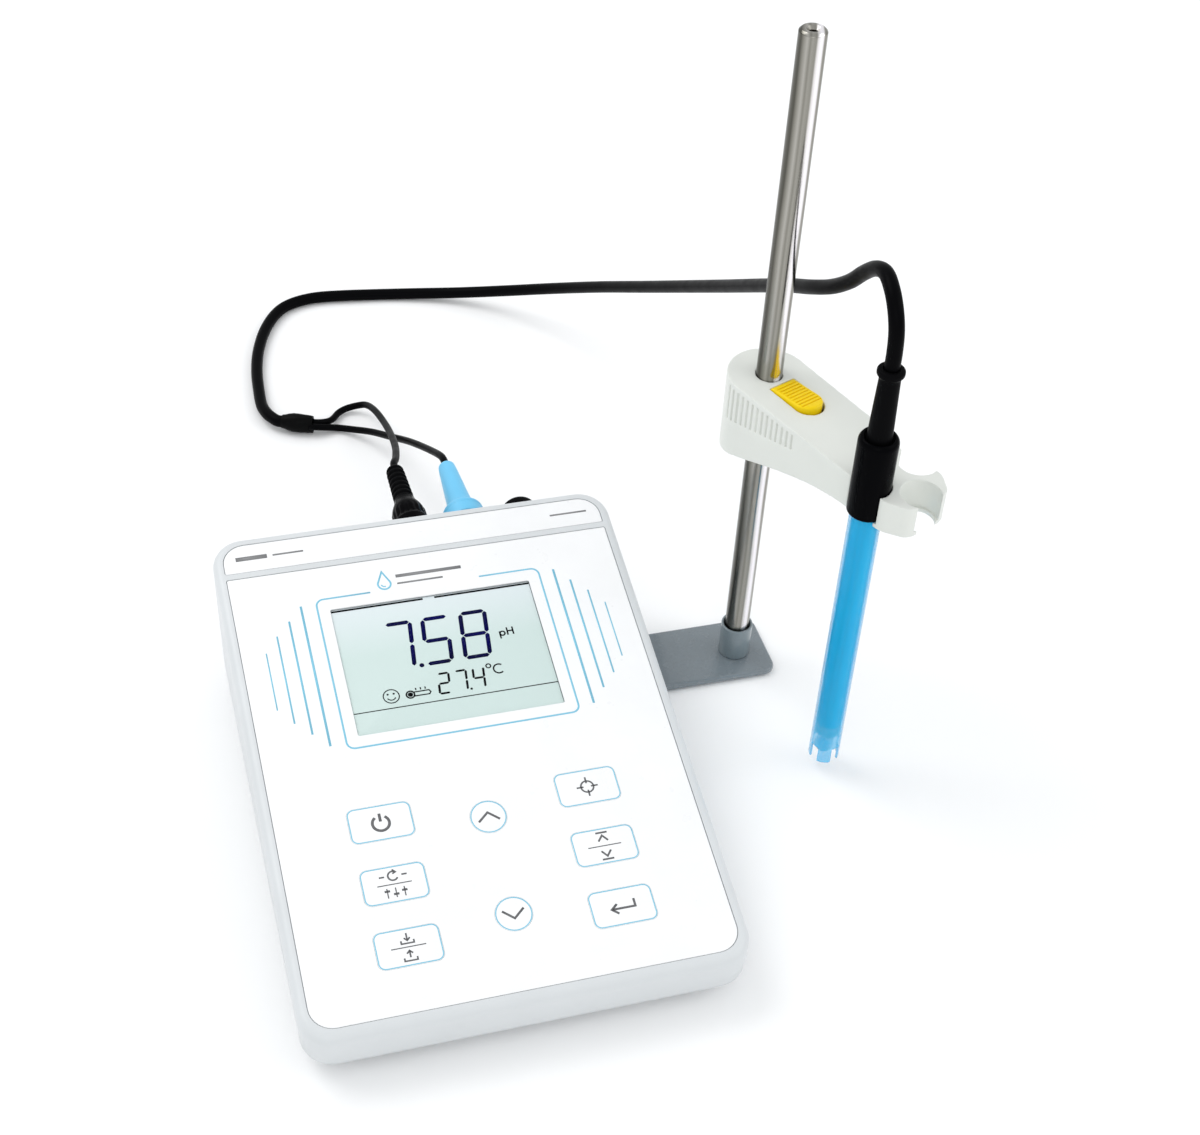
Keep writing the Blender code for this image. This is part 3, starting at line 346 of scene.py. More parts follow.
def make_looks():
    looks = {
        "case": moulded("case_plastic", (0.675, 0.70, 0.712), 0.36),
        "label": moulded("label_film", (0.93, 0.935, 0.94), 0.32, 5000, 0.003),
        "key": moulded("key_film", (0.93, 0.935, 0.94), 0.30, 5000, 0.003),
        "holder": moulded("holder_plastic", (0.745, 0.765, 0.72), 0.38),
        "button": moulded("yellow_plastic", (0.93, 0.66, 0.002), 0.36, 2200, 0.008,
                          Specular_IOR_Level=0.2),
        "boot": moulded("blue_boot", (0.155, 0.575, 0.885), 0.42, 1800, 0.01),
        "black": moulded("black_plastic", (0.0015, 0.0015, 0.002), 0.22, 1500, 0.006,
                         Specular_IOR_Level=0.02),
        "jacket": moulded("cable_jacket", (0.002, 0.002, 0.0025), 0.34, 900, 0.012,
                          Specular_IOR_Level=0.025),
        "rubber": moulded("black_rubber", (0.003, 0.003, 0.0035), 0.40, 1300, 0.02,
                          Specular_IOR_Level=0.02),
        "shrink": moulded("shrink_sleeve", (0.003, 0.003, 0.003), 0.38, 420, 0.12,
                          Specular_IOR_Level=0.04),
        "bush": moulded("bush_acetal", (0.82, 0.82, 0.79), 0.35),
        "diffuser": moulded("backlight_diffuser", (0.9, 0.94, 0.92), 0.5),
        "plate": painted("grey_powder_coat", (0.165, 0.195, 0.215), 0.24),
        "collar": painted("collar_paint", (0.165, 0.205, 0.225), 0.32),
        "nickel": metal("nickel_plate", (0.68, 0.66, 0.62), 0.22, 900, (1, 1, 1)),
        "zinc": metal("zinc_plate", (0.60, 0.62, 0.66), 0.30, 900, (1, 1, 1)),
        "brass": metal("plain_brass", (0.78, 0.60, 0.28), 0.28, 700, (1, 6, 1)),
        "spring": metal("spring_wire", (0.62, 0.61, 0.60), 0.25, 900, (1, 1, 1)),
    }
    looks["steel"] = metal("stainless_pin", (0.45, 0.43, 0.37), 0.24, 900, (1, 1, 0.03), 0.003)
    looks["rod"] = drawn_steel()
    # A sheet inside the electrode's tube that carries its painted highlight and shade, seen through the
    # half-clear wall
    liner = Look("tube_painted_sheen", (0.0, 0.6, 0.9), 0.3, Specular_IOR_Level=0.2)
    liner.vary("Roughness", liner.noise(250), 0.2, 0.4)
    pocket = (ARM @ shift(*ELECTRODE_POCKET, 0)).translation
    looks["liner"] = painted_reflection_streaks(liner, pocket, LINER_RADIUS, TUBE_PAINTED_SHEEN)
    board = Look("circuit_board", (0.02, 0.16, 0.07), 0.4, Coat_Weight=0.5)
    looks["board"] = board.tint(board.spots(420), (0.30, 0.20, 0.05), 0.0, 0.25).bump(board.noise(500), 0.03)
    dome = Look("dome_film", (0.70, 0.68, 0.60), 0.35)
    looks["dome"] = dome.tint(dome.spots(120), (0.80, 0.74, 0.55), 0.1, 0.3).bump(dome.spots(120), 0.1)
    glass = Look("electrode_glass", (0.90, 0.95, 0.97), 0.04, Transmission_Weight=0.85, IOR=1.47)
    looks["glass"] = glass.vary("Roughness", glass.noise(300), 0.02, 0.07)
    window = Look("clear_window", (0.02, 0.03, 0.03), 0.06, Alpha=0.03, Specular_IOR_Level=0.06)
    looks["window"] = window.vary("Roughness", window.noise(500), 0.04, 0.09)
    tube = Look("blue_tube", (0.0, 0.50, 0.88), 0.06, Alpha=0.5, Specular_IOR_Level=0.5)
    tube.tint(tube.noise(60, 3, (1, 1, 0.2)), (0.0, 0.56, 0.93))
    looks["electrode"] = tube.vary("Roughness", tube.noise(250), 0.08, 0.16)
    display = Look("display_face", (0.695, 0.83, 0.80), 0.30, Specular_IOR_Level=0.2)
    display.tint(display.reach("Y"), (0.86, 0.93, 0.96), 0.036, 0.064)
    looks["display"] = display.bump(display.noise(3500), 0.004)
    segment = Look("display_segment", (0.0, 0.0, 0.0), 0.4, Specular_IOR_Level=0.05)
    looks["segment"] = segment.tint(segment.noise(1500), (0.006, 0.006, 0.010))
    digit = Look("display_digit", (0.0, 0.0, 0.10), 0.4, Specular_IOR_Level=0.05)
    looks["digit"] = digit.tint(digit.noise(60), (0.003, 0.003, 0.035))
    for name, colour in (("blue_print", (0.19, 0.53, 0.70)), ("grey_print", (0.11, 0.11, 0.115)),
                         ("mark_print", (0.22, 0.22, 0.225))):
        ink = Look(name, colour, 0.38)
        looks[name] = ink.tint(ink.noise(4200), [channel * 1.12 for channel in colour])
    return looks


# ---------------------------------------------------------------- outlines

def arc(centre, radius, start, end, steps=10):
    """Points on an arc from one angle to another, in degrees, both ends included."""
    angles = [math.radians(start + (end - start) * step / steps) for step in range(steps + 1)]
    return [(centre[0] + radius * math.cos(a), centre[1] + radius * math.sin(a)) for a in angles]


def circle(centre, radius, steps=48):
    return arc(centre, radius, 0, 360 * (steps - 1) / steps, steps - 1)


def rounded_rectangle(left, right, low, high, radii, steps=8):
    """Anticlockwise outline; radii are those of the lower right, upper right, upper left, lower left."""
    corners = [(right, low, -1, 1, -90), (right, high, -1, -1, 0), (left, high, 1, -1, 90),
               (left, low, 1, 1, 180)]
    points = []
    for (x, y, side_x, side_y, start), radius in zip(corners, radii):
        points += arc((x + side_x * radius, y + side_y * radius), radius, start, start + 90, steps)
    return points


def softened(corners, steps=4, closed=False):
    """A line through corners (x, y, radius), each made a curve that starts a radius before it."""
    points = []
    count = len(corners)
    for i, (x, y, radius) in enumerate(corners):
        if radius == 0 or (not closed and i in (0, count - 1)):
            points.append((x, y))
            continue
        here = Vector((x, y))
        before = Vector(corners[i - 1][:2]) - here
        after = Vector(corners[(i + 1) % count][:2]) - here
        a = here + before.normalized() * min(radius, before.length * 0.49)
        b = here + after.normalized() * min(radius, after.length * 0.49)
        for step in range(steps + 1):
            t = step / steps
            points.append(tuple(a * (1 - t) ** 2 + here * 2 * t * (1 - t) + b * t * t))
    return points


def inset(outline, distance):
    """An anticlockwise outline moved inwards."""
    points = [Vector(point) for point in outline]
    moved = []
    for i, point in enumerate(points):
        before = (point - points[i - 1]).normalized()
        after = (points[(i + 1) % len(points)] - point).normalized()
        side = Vector((-before.y, before.x)) + Vector((-after.y, after.x))
        moved.append(tuple(point + side * distance / max(0.3, 1 + before.dot(after))))
    return moved


# ---------------------------------------------------------------- solids

def loft(rings, closed=False):
    """Solid through rings with equal numbers of points: capped at both ends, or closed on itself."""
    solid = bmesh.new()
    loops = [[solid.verts.new(Vector(point) * MM) for point in ring] for ring in rings]
    count = len(loops[0])
    for lower, upper in zip(loops, loops[1:] + ([loops[0]] if closed else [])):
        for i in range(count):
            j = (i + 1) % count
            solid.faces.new((lower[i], lower[j], upper[j], upper[i]))
    if not closed:
        solid.faces.new(loops[0])
        solid.faces.new(loops[-1])
    bmesh.ops.recalc_face_normals(solid, faces=solid.faces)
    return solid


def at_height(outline, z):
    return [(x, y, z) for x, y in outline]


def prism(outline, low, high):
    return loft([at_height(outline, low), at_height(outline, high)])


def block(left, right, front, back, low, high):
    return prism([(left, front), (right, front), (right, back), (left, back)], low, high)


def quarter(steps):
    """A rounded edge of radius 1: pairs that go from (0, 1) to (1, 0)."""
    angles = [math.pi / 2 * step / steps for step in range(steps + 1)]
    return [(1 - math.cos(angle), 1 - math.sin(angle)) for angle in angles]


def slab(outline, low, high, top_edge, low_edge=0.0, steps=5):
    """A prism whose upper edge, and lower edge if given, is rounded."""
    rings = [at_height(inset(outline, low_edge * inwards), low + low_edge * up)
             for up, inwards in quarter(steps)[:None if low_edge else 1]]
    rings += [at_height(inset(outline, top_edge * inwards), high - top_edge * down)
              for inwards, down in quarter(steps)]
    return loft(rings)


def turned(profile, sides=48, ring=False, wave=None):
    """Solid of revolution about z from (radius, height) pairs; wave(angle, height) scales the radius."""
    solid = bmesh.new()
    rows = []
    for radius, height in profile:
        if radius <= 1e-6:
            rows.append([solid.verts.new((0, 0, height * MM))])
            continue
        row = []
        for x, y in circle((0, 0), 1.0, sides):
            scale = radius * (wave(math.atan2(y, x), height) if wave else 1.0)
            row.append(solid.verts.new((x * scale * MM, y * scale * MM, height * MM)))
        rows.append(row)
    for lower, upper in zip(rows, rows[1:] + ([rows[0]] if ring else [])):
        for i in range(sides):
            j = (i + 1) % sides
            if len(lower) == 1:
                solid.faces.new((lower[0], upper[j], upper[i]))
            elif len(upper) == 1:
                solid.faces.new((lower[i], lower[j], upper[0]))
            else:
                solid.faces.new((lower[i], lower[j], upper[j], upper[i]))
    bmesh.ops.recalc_face_normals(solid, faces=solid.faces)
    return solid


def moved(solid, x, y, z):
    bmesh.ops.translate(solid, verts=solid.verts, vec=Vector((x, y, z)) * MM)
    return solid


def drill(radius, low, high, x=0, y=0, sides=48):
    return moved(turned([(0, low), (radius, low), (radius, high), (0, high)], sides), x, y, 0)


def joined(solids):
    whole = bmesh.new()
    for solid in solids:
        mesh = bpy.data.meshes.new("joining")
        solid.to_mesh(mesh)
        solid.free()
        whole.from_mesh(mesh)
        bpy.data.meshes.remove(mesh)
    return whole


def ribbon(points, width, low, high, closed=False):
    """A flat printed line of some thickness along points in the plane."""
    points = [Vector(point) for point in points]
    count = len(points)
    left, right = [], []
    for i, point in enumerate(points):
        before = (point - points[i - 1]).normalized() if closed or i else None
        after = (points[(i + 1) % count] - point).normalized() if closed or i < count - 1 else None
        before, after = before or after, after or before
        side = Vector((-before.y, before.x)) + Vector((-after.y, after.x))
        side *= width / 2 / max(0.35, 1 + before.dot(after))
        left.append(point + side)
        right.append(point - side)
    rings = [[(*a, low), (*b, low), (*b, high), (*a, high)] for a, b in zip(left, right)]
    return loft(rings, closed)


def sweep(points, radius, sides=20):
    """A round tube along points."""
    solid = bmesh.new()
    points = [Vector(point) for point in points]
    across = None
    rings = []
    for i, point in enumerate(points):
        along = (points[min(i + 1, len(points) - 1)] - points[max(i - 1, 0)]).normalized()
        across = across or along.orthogonal()
        across = (across - along * across.dot(along)).normalized()
        other = along.cross(across)
        rings.append([solid.verts.new((point + (across * x + other * y)) * MM)
                      for x, y in circle((0, 0), radius, sides)])
    for lower, upper in zip(rings, rings[1:]):
        for i in range(sides):
            j = (i + 1) % sides
            solid.faces.new((lower[i], lower[j], upper[j], upper[i]))
    solid.faces.new(rings[0])
    solid.faces.new(rings[-1])
    bmesh.ops.recalc_face_normals(solid, faces=solid.faces)
    return solid


# ---------------------------------------------------------------- pieces

def shape(name, solid, look):
    mesh = bpy.data.meshes.new(name)
    solid.to_mesh(mesh)
    solid.free()
    mesh.materials.append(look.material)
    item = bpy.data.objects.new(name, mesh)
    bpy.context.scene.collection.objects.link(item)
    return item


KEPT_TRIANGLES = 0.4


def apply_modifiers(item):
    bpy.context.view_layer.update()
    evaluated = item.evaluated_get(bpy.context.evaluated_depsgraph_get())
    mesh = bpy.data.meshes.new_from_object(evaluated)
    old = item.data
    item.modifiers.clear()
    item.data = mesh
    bpy.data.meshes.remove(old)
    mesh.name = item.name


def cut(item, solids, place=Matrix.Identity(4)):
    """Takes solids out of a piece."""
    tool = shape("tool", joined(solids), looks["case"])
    tool.data.materials.clear()
    tool.data.transform(place)
    modifier = item.modifiers.new("cut", "BOOLEAN")
    modifier.operation = "DIFFERENCE"
    modifier.solver = "EXACT"
    modifier.object = tool
    apply_modifiers(item)
    bpy.data.objects.remove(tool, do_unlink=True)


def soften(item, voxel, passes):
    """Rounds every edge a little, as a mould does, and thins the mesh out again."""
    remesh = item.modifiers.new("remesh", "REMESH")
    remesh.mode = "VOXEL"
    remesh.voxel_size = voxel * MM
    smooth = item.modifiers.new("smooth", "SMOOTH")
    smooth.factor = 0.5
    smooth.iterations = passes
    thin = item.modifiers.new("thin", "DECIMATE")
    thin.ratio = KEPT_TRIANGLES
    apply_modifiers(item)


def settle(item, place, body="root", stands_for=(), smooth=32):
    """Moves a finished piece from its own frame to its place on the model."""
    item.data.transform(place)
    item.data.shade_smooth()
    if smooth:
        item.data.set_sharp_from_angle(angle=math.radians(smooth))
    if body:
        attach(item, body)
    if stands_for:
        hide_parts(*stands_for)
    return item


def add(name, solid, look, place, stands_for=(), body="root", smooth=32):
    """Makes a piece with the named look's material and settles it."""
    return settle(shape(name, solid, looks[look]), place, body, stands_for, smooth)


# ---------------------------------------------------------------- cords

ROUTE_STEPS = 24


def smooth_route(points, every):
    """Evenly spaced points on a Catmull-Rom curve through the route's points."""
    points = [Vector(point) for point in points]
    ends = [points[0] * 2 - points[1]] + points + [points[-1] * 2 - points[-2]]
    fine = [points[0]]
    for a, b, c, d in zip(ends, ends[1:], ends[2:], ends[3:]):
        for step in range(1, ROUTE_STEPS + 1):
            t = step / ROUTE_STEPS
            fine.append(0.5 * (2 * b + (c - a) * t + (2 * a - 5 * b + 4 * c - d) * t * t
                               + (3 * b - a - 3 * c + d) * t * t * t))
    travelled = [0.0]
    for a, b in zip(fine, fine[1:]):
        travelled.append(travelled[-1] + (b - a).length)
    count = max(2, round(travelled[-1] / every))
    spaced, index = [], 0
    for step in range(count + 1):
        wanted = travelled[-1] * step / count
        while index < len(fine) - 2 and travelled[index + 1] < wanted:
            index += 1
        part = (wanted - travelled[index]) / (travelled[index + 1] - travelled[index])
        spaced.append(fine[index].lerp(fine[index + 1], part))
    return spaced, travelled[-1] * MM


def in_model(point):
    return BENCH @ (Vector(point) * MM)


def add_cord(name, points, diameter, node):
    """A cord's tube, its path in the model's frame, and its length."""
    route, length = smooth_route(points, CORD_POINT_EVERY)
    tube = shape(name, sweep(route, diameter / 2), looks["jacket"])
    item = settle(tube, BENCH, None, [node], None)
    return item, [in_model(point) for point in route], length


def arm_to_bench(x, y, z):
    return BENCH.inverted() @ (ARM @ (Vector((x, y, z)) * MM)) / MM


def make_cables():
    """The electrode's cable, in two stretches, and the shrink joint where it divides into its two leads."""
    leaves = arm_to_bench(*ELECTRODE_POCKET, RELIEF_TOP - 1)
    along = (JOINT_END - JOINT_START).normalized()
    upwards = leaves + Vector((0, 0, 7.3))
    hanging, path, length = add_cord("cable_hanging_run", [leaves, upwards] + HANGING_ROUTE + [CABLE_SPLIT],
                                     CABLE_DIAMETER, "cable_hanging")
    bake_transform(hanging)
    into_joint = [JOINT_START - along * CABLE_STRAIGHT, JOINT_START + along]
    lying, path, length = add_cord("cable_lying_run", [CABLE_SPLIT] + LYING_ROUTE + into_joint,
                                   CABLE_DIAMETER, "cable_lying")
    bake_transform(lying)
    make_joint(along)
    return along


def make_joint(along):
    """Shrink sleeve where the cable divides: round on the cable, pressed flat at its open end."""
    length = (JOINT_END - JOINT_START).length
    rings = []
    for along_sleeve, half_width, half_height in (
            (-1.0, 2.95, 2.95), (-0.6, 3.25, 3.2), (0.8, 3.5, 3.4), (2.4, 4.1, 3.9), (4.5, 4.5, 4.3),
            (7.2, 4.6, 4.2), (9.8, 4.6, 3.7), (12.0, 4.7, 3.2), (length, 4.6, 2.8), (length, 3.9, 2.1),
            (length - 2, 3.7, 1.9)):
        rings.append([(half_height * y, half_width * x, along_sleeve) for x, y in circle((0, 0), 1.0, 40)])
    turn = along.to_track_quat("Z", "Y").to_matrix().to_4x4()
    return add("shrink_joint", loft(rings), "shrink", BENCH @ shift(*JOINT_START) @ turn, ["cable_joint"])


def make_leads(along, plugs):
    side = Vector((-along.y, along.x, 0)) * LEAD_SPREAD
    for name, route, socket_x, end_y, offset, pieces in (
            ("probe_lead", PROBE_LEAD_ROUTE, PROBE_X, 130.5, side, plugs["probe"]),
            ("electrode_lead", ELECTRODE_LEAD_ROUTE, ELECTRODE_X, 128.5, -side, plugs["electrode"])):
        begin = JOINT_END - along * LEAD_START + offset
        clear = begin + along * (LEAD_START + GAP + LEAD_STRAIGHT)
        points = [begin, clear] + route + [(socket_x, end_y, CONNECTOR_HEIGHT)]
        lead, path, length = add_cord(name + "_run", points, LEAD_DIAMETER, name)
        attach(lead, "root")


# ---------------------------------------------------------------- case

def panel_height(y):
    return PANEL_HEIGHT + y * math.tan(PANEL_TILT)


def case_ring(margin, height=None, drop=0.0):
    """The case's outline, moved inwards, level at a height or in the panel's slope below its plane."""
    radius = max(CASE_CORNER - margin, 2.5)
    outline = rounded_rectangle(-CASE_WIDTH / 2 + margin, CASE_WIDTH / 2 - margin, CASE_FRONT + margin,
                                CASE_REAR - margin, [radius] * 4, 12)
    if height is not None:
        return at_height(outline, height)
    return [(x, y, panel_height(y) - drop) for x, y in outline]


def label_outline(sheet, top_radius, low_radius, margin=0.0):
    half, low, high = sheet
    radii = [max(radius + margin, 0.4) for radius in (low_radius, top_radius, top_radius, low_radius)]
    return rounded_rectangle(-half - margin, half + margin, low - margin, high + margin, radii)


def key_outline(spot, margin=0.0):
    x, y = spot
    half_x, half_y = KEY_HALF[0] + margin, KEY_HALF[1] + margin
    return rounded_rectangle(x - half_x, x + half_x, y - half_y, y + half_y, [KEY_CORNER + margin] * 4)


def panel_openings(low, high, margin):
    half, bottom, top = DISPLAY
    holes = [prism(key_outline(spot, margin), low, high) for spot in KEYS.values()]
    holes += [prism(circle(spot, ROUND_KEY_RADIUS + margin), low, high) for spot in ROUND_KEYS.values()]
    window = rounded_rectangle(-half - margin, half + margin, bottom - margin, top + margin, [0.8] * 4)
    return holes + [prism(window, low, high)]


def make_case():
    rings = [case_ring(CASE_EDGE * inwards, drop=CASE_EDGE * down) for down, inwards in quarter(8)]
    rings += [case_ring(0.65, PARTING_HEIGHT + 0.5), case_ring(0.8, PARTING_HEIGHT + 0.15),
              case_ring(1.2, PARTING_HEIGHT), case_ring(0.7 + WALL, PARTING_HEIGHT),
              case_ring(WALL + 0.1, drop=5.7), case_ring(WALL + 2.2, drop=3.2)]
    case = shape("case_shell", loft(rings), looks["case"])
    slope = BENCH.inverted() @ PANEL
    cut(case, [prism(label_outline(OVERLAY, SQUARE_CORNER, LABEL_CORNER, GAP), RECESS, 5),
               prism(label_outline(HEADER, LABEL_CORNER, SQUARE_CORNER, GAP), RECESS, 5)], slope)
    cut(case, panel_openings(-9, 6, GAP), slope)
    sockets = []
    for x, radius in ((PROBE_X, 4.6), (ELECTRODE_X, 6.5), (SUPPLY_X, 4.6)):
        sockets.append(drill(radius, -10, 10, x))
        bmesh.ops.rotate(sockets[-1], verts=sockets[-1].verts, cent=Vector((x * MM, 0, 0)),
                         matrix=Matrix.Rotation(math.radians(-90), 3, "X"))
    cut(case, sockets, shift(0, CASE_REAR, CONNECTOR_HEIGHT))
    settle(case, BENCH, "root", ["upper_case"])


def make_tray():
    """The lower case: a tray that tapers inwards below the parting line, with wells for screws, and rubber
    feet.
    """
    top = PARTING_HEIGHT - GAP
    rings = [case_ring(9.5, UNDERSIDE), case_ring(8.4, UNDERSIDE), case_ring(6.9, 4.3), case_ring(5.4, 5.0),
             case_ring(3.6, 6.2), case_ring(2.1, 7.7), case_ring(1.2, 9.1), case_ring(1.1, top - 0.2),
             case_ring(1.3, top), case_ring(3.4, top), case_ring(3.4, 12.0), case_ring(4.7, 12.0),
             case_ring(5.0, 9.2), case_ring(9.0, 6.4)]
    tray = shape("case_tray", loft(rings), looks["case"])
    cut(tray, [drill(3.4, 2, 8, x, y) for x, y in CASE_SCREWS]
        + [drill(1.5, 2, 12, x, y, 24) for x, y in PLATE_SCREWS])
    settle(tray, BENCH, "root", ["lower_case"])
    for node, (x, y) in FEET.items():
        profile = softened([(0, 0.25, 0), (3.4, 0.25, 0.3), (3.6, 0, 0.3), (4.9, 0, 0.6), (5.9, 1.2, 0.8),
                            (6.0, 3.7, 0), (0, 3.7, 0)])
        add(node + "_pad", turned(profile), "rubber", BENCH @ shift(x, y, 0), [node])


# ---------------------------------------------------------------- front panel

def lay_print(name, lines, look, body="root", top=FILM_TOP):
    """Printed lines, each (points, width) or (points, width, closed), as one thin raised layer."""
    low, high = top - PRINT_SUNK, top + PRINT_RAISED
    solids = [ribbon(line[0], line[1], low, high, len(line) > 2 and line[2]) for line in lines]
    return add(name, joined(solids), look, PANEL, (), body, None)


def make_labels():
    header = label_outline(HEADER, LABEL_CORNER, SQUARE_CORNER)
    add("header_film", slab(header, FILM_LOW, FILM_TOP, LABEL_EDGE, steps=3), "label", PANEL,
        ["header_label"])
    film = label_outline(OVERLAY, SQUARE_CORNER, LABEL_CORNER)
    overlay = shape("overlay_film", slab(film, FILM_LOW, FILM_TOP, LABEL_EDGE, steps=3), looks["label"])
    cut(overlay, panel_openings(-3, 3, 0.10))
    settle(overlay, PANEL, "root", ["keypad_overlay"])
    make_frame_print()


def make_frame_print():
    """Blue line round the display, open at the top, four narrowing stripes on each side, a plain drop
    and plain bars."""
    half, low, high, corner = 44.1, -20.2, 48.6, 3.0
    outline = rounded_rectangle(-half, half, low, high, [corner] * 4)
    lower_right = [p for p in outline if p[0] > 0 and p[1] < 0]
    upper_right = [p for p in outline if p[0] > 0 and p[1] > 0]
    upper_left = [p for p in outline if p[0] < 0 and p[1] > 0]
    lower_left = [p for p in outline if p[0] < 0 and p[1] < 0]
    line = [(-22.7, high)] + upper_left + lower_left + lower_right + upper_right + [(20.5, high)]
    lines = [(line, 0.7)]
    stripes = [(50.1, -17.6, 46.8, 0.9), (55.6, -11.4, 40.6, 0.78), (61.2, -5.5, 34.5, 0.64),
               (66.4, 1.4, 27.5, 0.5)]
    for x, bottom, top, width in stripes:
        for sign in (-1, 1):
            lines.append(([(sign * x, bottom), (sign * x, top)], width))
    drop_x, drop_y = -16.6, 51.6
    drop = arc((drop_x, drop_y), 2.5, 150, 390, 24) + [(drop_x, drop_y + 6.0)]
    lines += [(drop, 0.7, True), (arc((drop_x, drop_y), 1.2, 190, 290, 8), 0.5)]
    lay_print("frame_print", lines, "blue_print")
    bars = [([(-11.6, 54.6), (14.5, 54.6)], 1.5), ([(-11.6, 51.0), (6.5, 51.0)], 0.8),
            ([(-71.0, 73.4), (-58.8, 73.4)], 2.0), ([(-56.6, 73.4), (-44.6, 73.4)], 0.8),
            ([(55.4, 73.4), (70.6, 73.4)], 0.8)]
    lay_print("mark_print", bars, "mark_print")


LEGEND_SCALE, LEGEND_WEIGHT = 1.18, 1.4


def make_keys():
    """Key caps flush with the film, each with a blue outline and a grey pictogram that ride with it."""
    for name, spot in {**KEYS, **ROUND_KEYS}.items():
        def outline(margin):
            if name in ROUND_KEYS:
                return circle(spot, ROUND_KEY_RADIUS + margin, 64)
            return key_outline(spot, margin)

        rings = [at_height(outline(margin), level) for level, margin in
                 ((-4.2, 0.9), (-3.5, 0.9), (-3.5, 0.0), (-0.7, 0.0), (-0.6, 0.02), (KEY_TOP - 0.08, 0.02),
                  (KEY_TOP - 0.02, -0.02), (KEY_TOP, -0.10))]
        add(name + "_cap", loft(rings), "key", PANEL, [name], name)
        lay_print(name + "_outline", [(outline(-0.35), 0.42, True)], "blue_print", name, KEY_TOP)
        x, y = spot
        lines = []
        for points, width, *closed in LEGENDS[name]:
            placed = [(x + across * LEGEND_SCALE, y + up * LEGEND_SCALE) for across, up in points]
            lines.append((placed, width * LEGEND_WEIGHT, *closed))
        lay_print(name + "_legend", lines, "grey_print", name, KEY_TOP)


def make_legends():
    """Generic pictograms in place of words, drawn in millimetres about the key's centre."""
    power = [(arc((0, -0.2), 2.6, 125, 415, 24), 0.75), ([(0, 0.4), (0, 3.2)], 0.75)]
    chevron = [([(-3.3, -1.4), (0, 1.5), (3.3, -1.4)], 0.6)]
    rule = [([(-5.2, 0), (5.2, 0)], 0.28)]
    sliders = []
    for x, knob in ((-2.6, -2.1), (0, -3.3), (2.6, -2.4)):
        sliders += [([(x, -1.2), (x, -4.4)], 0.3), ([(x - 0.8, knob), (x + 0.8, knob)], 0.6)]
    cycle = [(arc((0, 2.8), 1.5, 60, 330, 16), 0.45), ([(-4.2, 2.8), (-2.6, 2.8)], 0.45),
             ([(2.6, 2.8), (4.2, 2.8)], 0.45), ([(0.1, 4.9), (1.0, 4.0), (0.0, 3.5)], 0.4)]
    tray = [([(-1.9, 2.2), (-1.9, 1.2), (1.9, 1.2), (1.9, 2.2)], 0.42), ([(0, 4.5), (0, 2.2)], 0.42),
            ([(-0.9, 3.0), (0, 2.1), (0.9, 3.0)], 0.42)]
    recall = [([(-1.9, -3.4), (-1.9, -4.4), (1.9, -4.4), (1.9, -3.4)], 0.42), ([(0, -1.2), (0, -3.4)], 0.42),
              ([(-0.9, -2.1), (0, -1.2), (0.9, -2.1)], 0.42)]
    highest = [([(-1.8, 4.6), (1.8, 4.6)], 0.5), ([(-1.5, 1.7), (0, 3.6), (1.5, 1.7)], 0.5)]
    lowest = [([(-1.8, -4.6), (1.8, -4.6)], 0.5), ([(-1.5, -1.7), (0, -3.6), (1.5, -1.7)], 0.5)]
    target = [(circle((0, 0), 2.0, 32), 0.45, True)]
    for x, y in ((1, 0), (-1, 0), (0, 1), (0, -1)):
        target.append(([(x * 1.2, y * 1.2), (x * 3.4, y * 3.4)], 0.45))
    enter = [([(3.8, 1.9), (3.8, -0.6), (-3.4, -0.6)], 0.6),
             ([(-1.6, 1.0), (-3.5, -0.6), (-1.6, -2.2)], 0.6)]
    down = [([(x, -y) for x, y in chevron[0][0]], 0.6)]
    return {"key_power": power, "key_mode": cycle + rule + sliders, "key_memory": tray + rule + recall,
            "key_cal": target, "key_max_min": highest + rule + lowest, "key_enter": enter,
            "key_up": chevron, "key_down": down}


# ---------------------------------------------------------------- display

SEGMENTS = {"0": "abcdef", "1": "bc", "2": "abged", "3": "abgcd", "4": "fgbc", "5": "afgcd", "6": "afgedc",
            "7": "abc", "8": "abcdefg", "9": "abcdfg"}
DIGIT_SLANT = 0.105


def slanted(points, base):
    return [(x + (y - base) * DIGIT_SLANT, y) for x, y in points]


def digit_bars(character, left, base, width, height, bar):
    """Outlines of the bars that one seven-segment digit shows, each pointed at its ends."""
    half, clear = bar / 2, bar * 0.62
    right, top, centre = left + width - half, base + height - half, base + height / 2
    left, low = left + half, base + half

    def level(y):
        return [(left + clear, y - half), (right - clear, y - half), (right - clear + half, y),
                (right - clear, y + half), (left + clear, y + half), (left + clear - half, y)]

    def upright(x, start, end):
        return [(x - half, start + clear), (x, start + clear - half), (x + half, start + clear),
                (x + half, end - clear), (x, end - clear + half), (x - half, end - clear)]

    bars = {"a": level(top), "g": level(centre), "d": level(low), "f": upright(left, centre, top),
            "b": upright(right, centre, top), "e": upright(left, low, centre),
            "c": upright(right, low, centre)}
    return [slanted(bars[segment], base) for segment in SEGMENTS[character]]


# Each reading: its digits with their left edges, and the base, width, height and bar of a digit
LARGE_READING = ((("7", -23.1), ("5", -8.6), ("8", 6.3)), (11.2, 11.2, 22.3, 1.7))
SMALL_READING = ((("2", -6.3), ("7", 0.4), ("4", 7.2)), (-2.6, 4.9, 9.8, 0.88))


def reading(digits, sizes):
    return [bar for character, left in digits for bar in digit_bars(character, left, *sizes)]


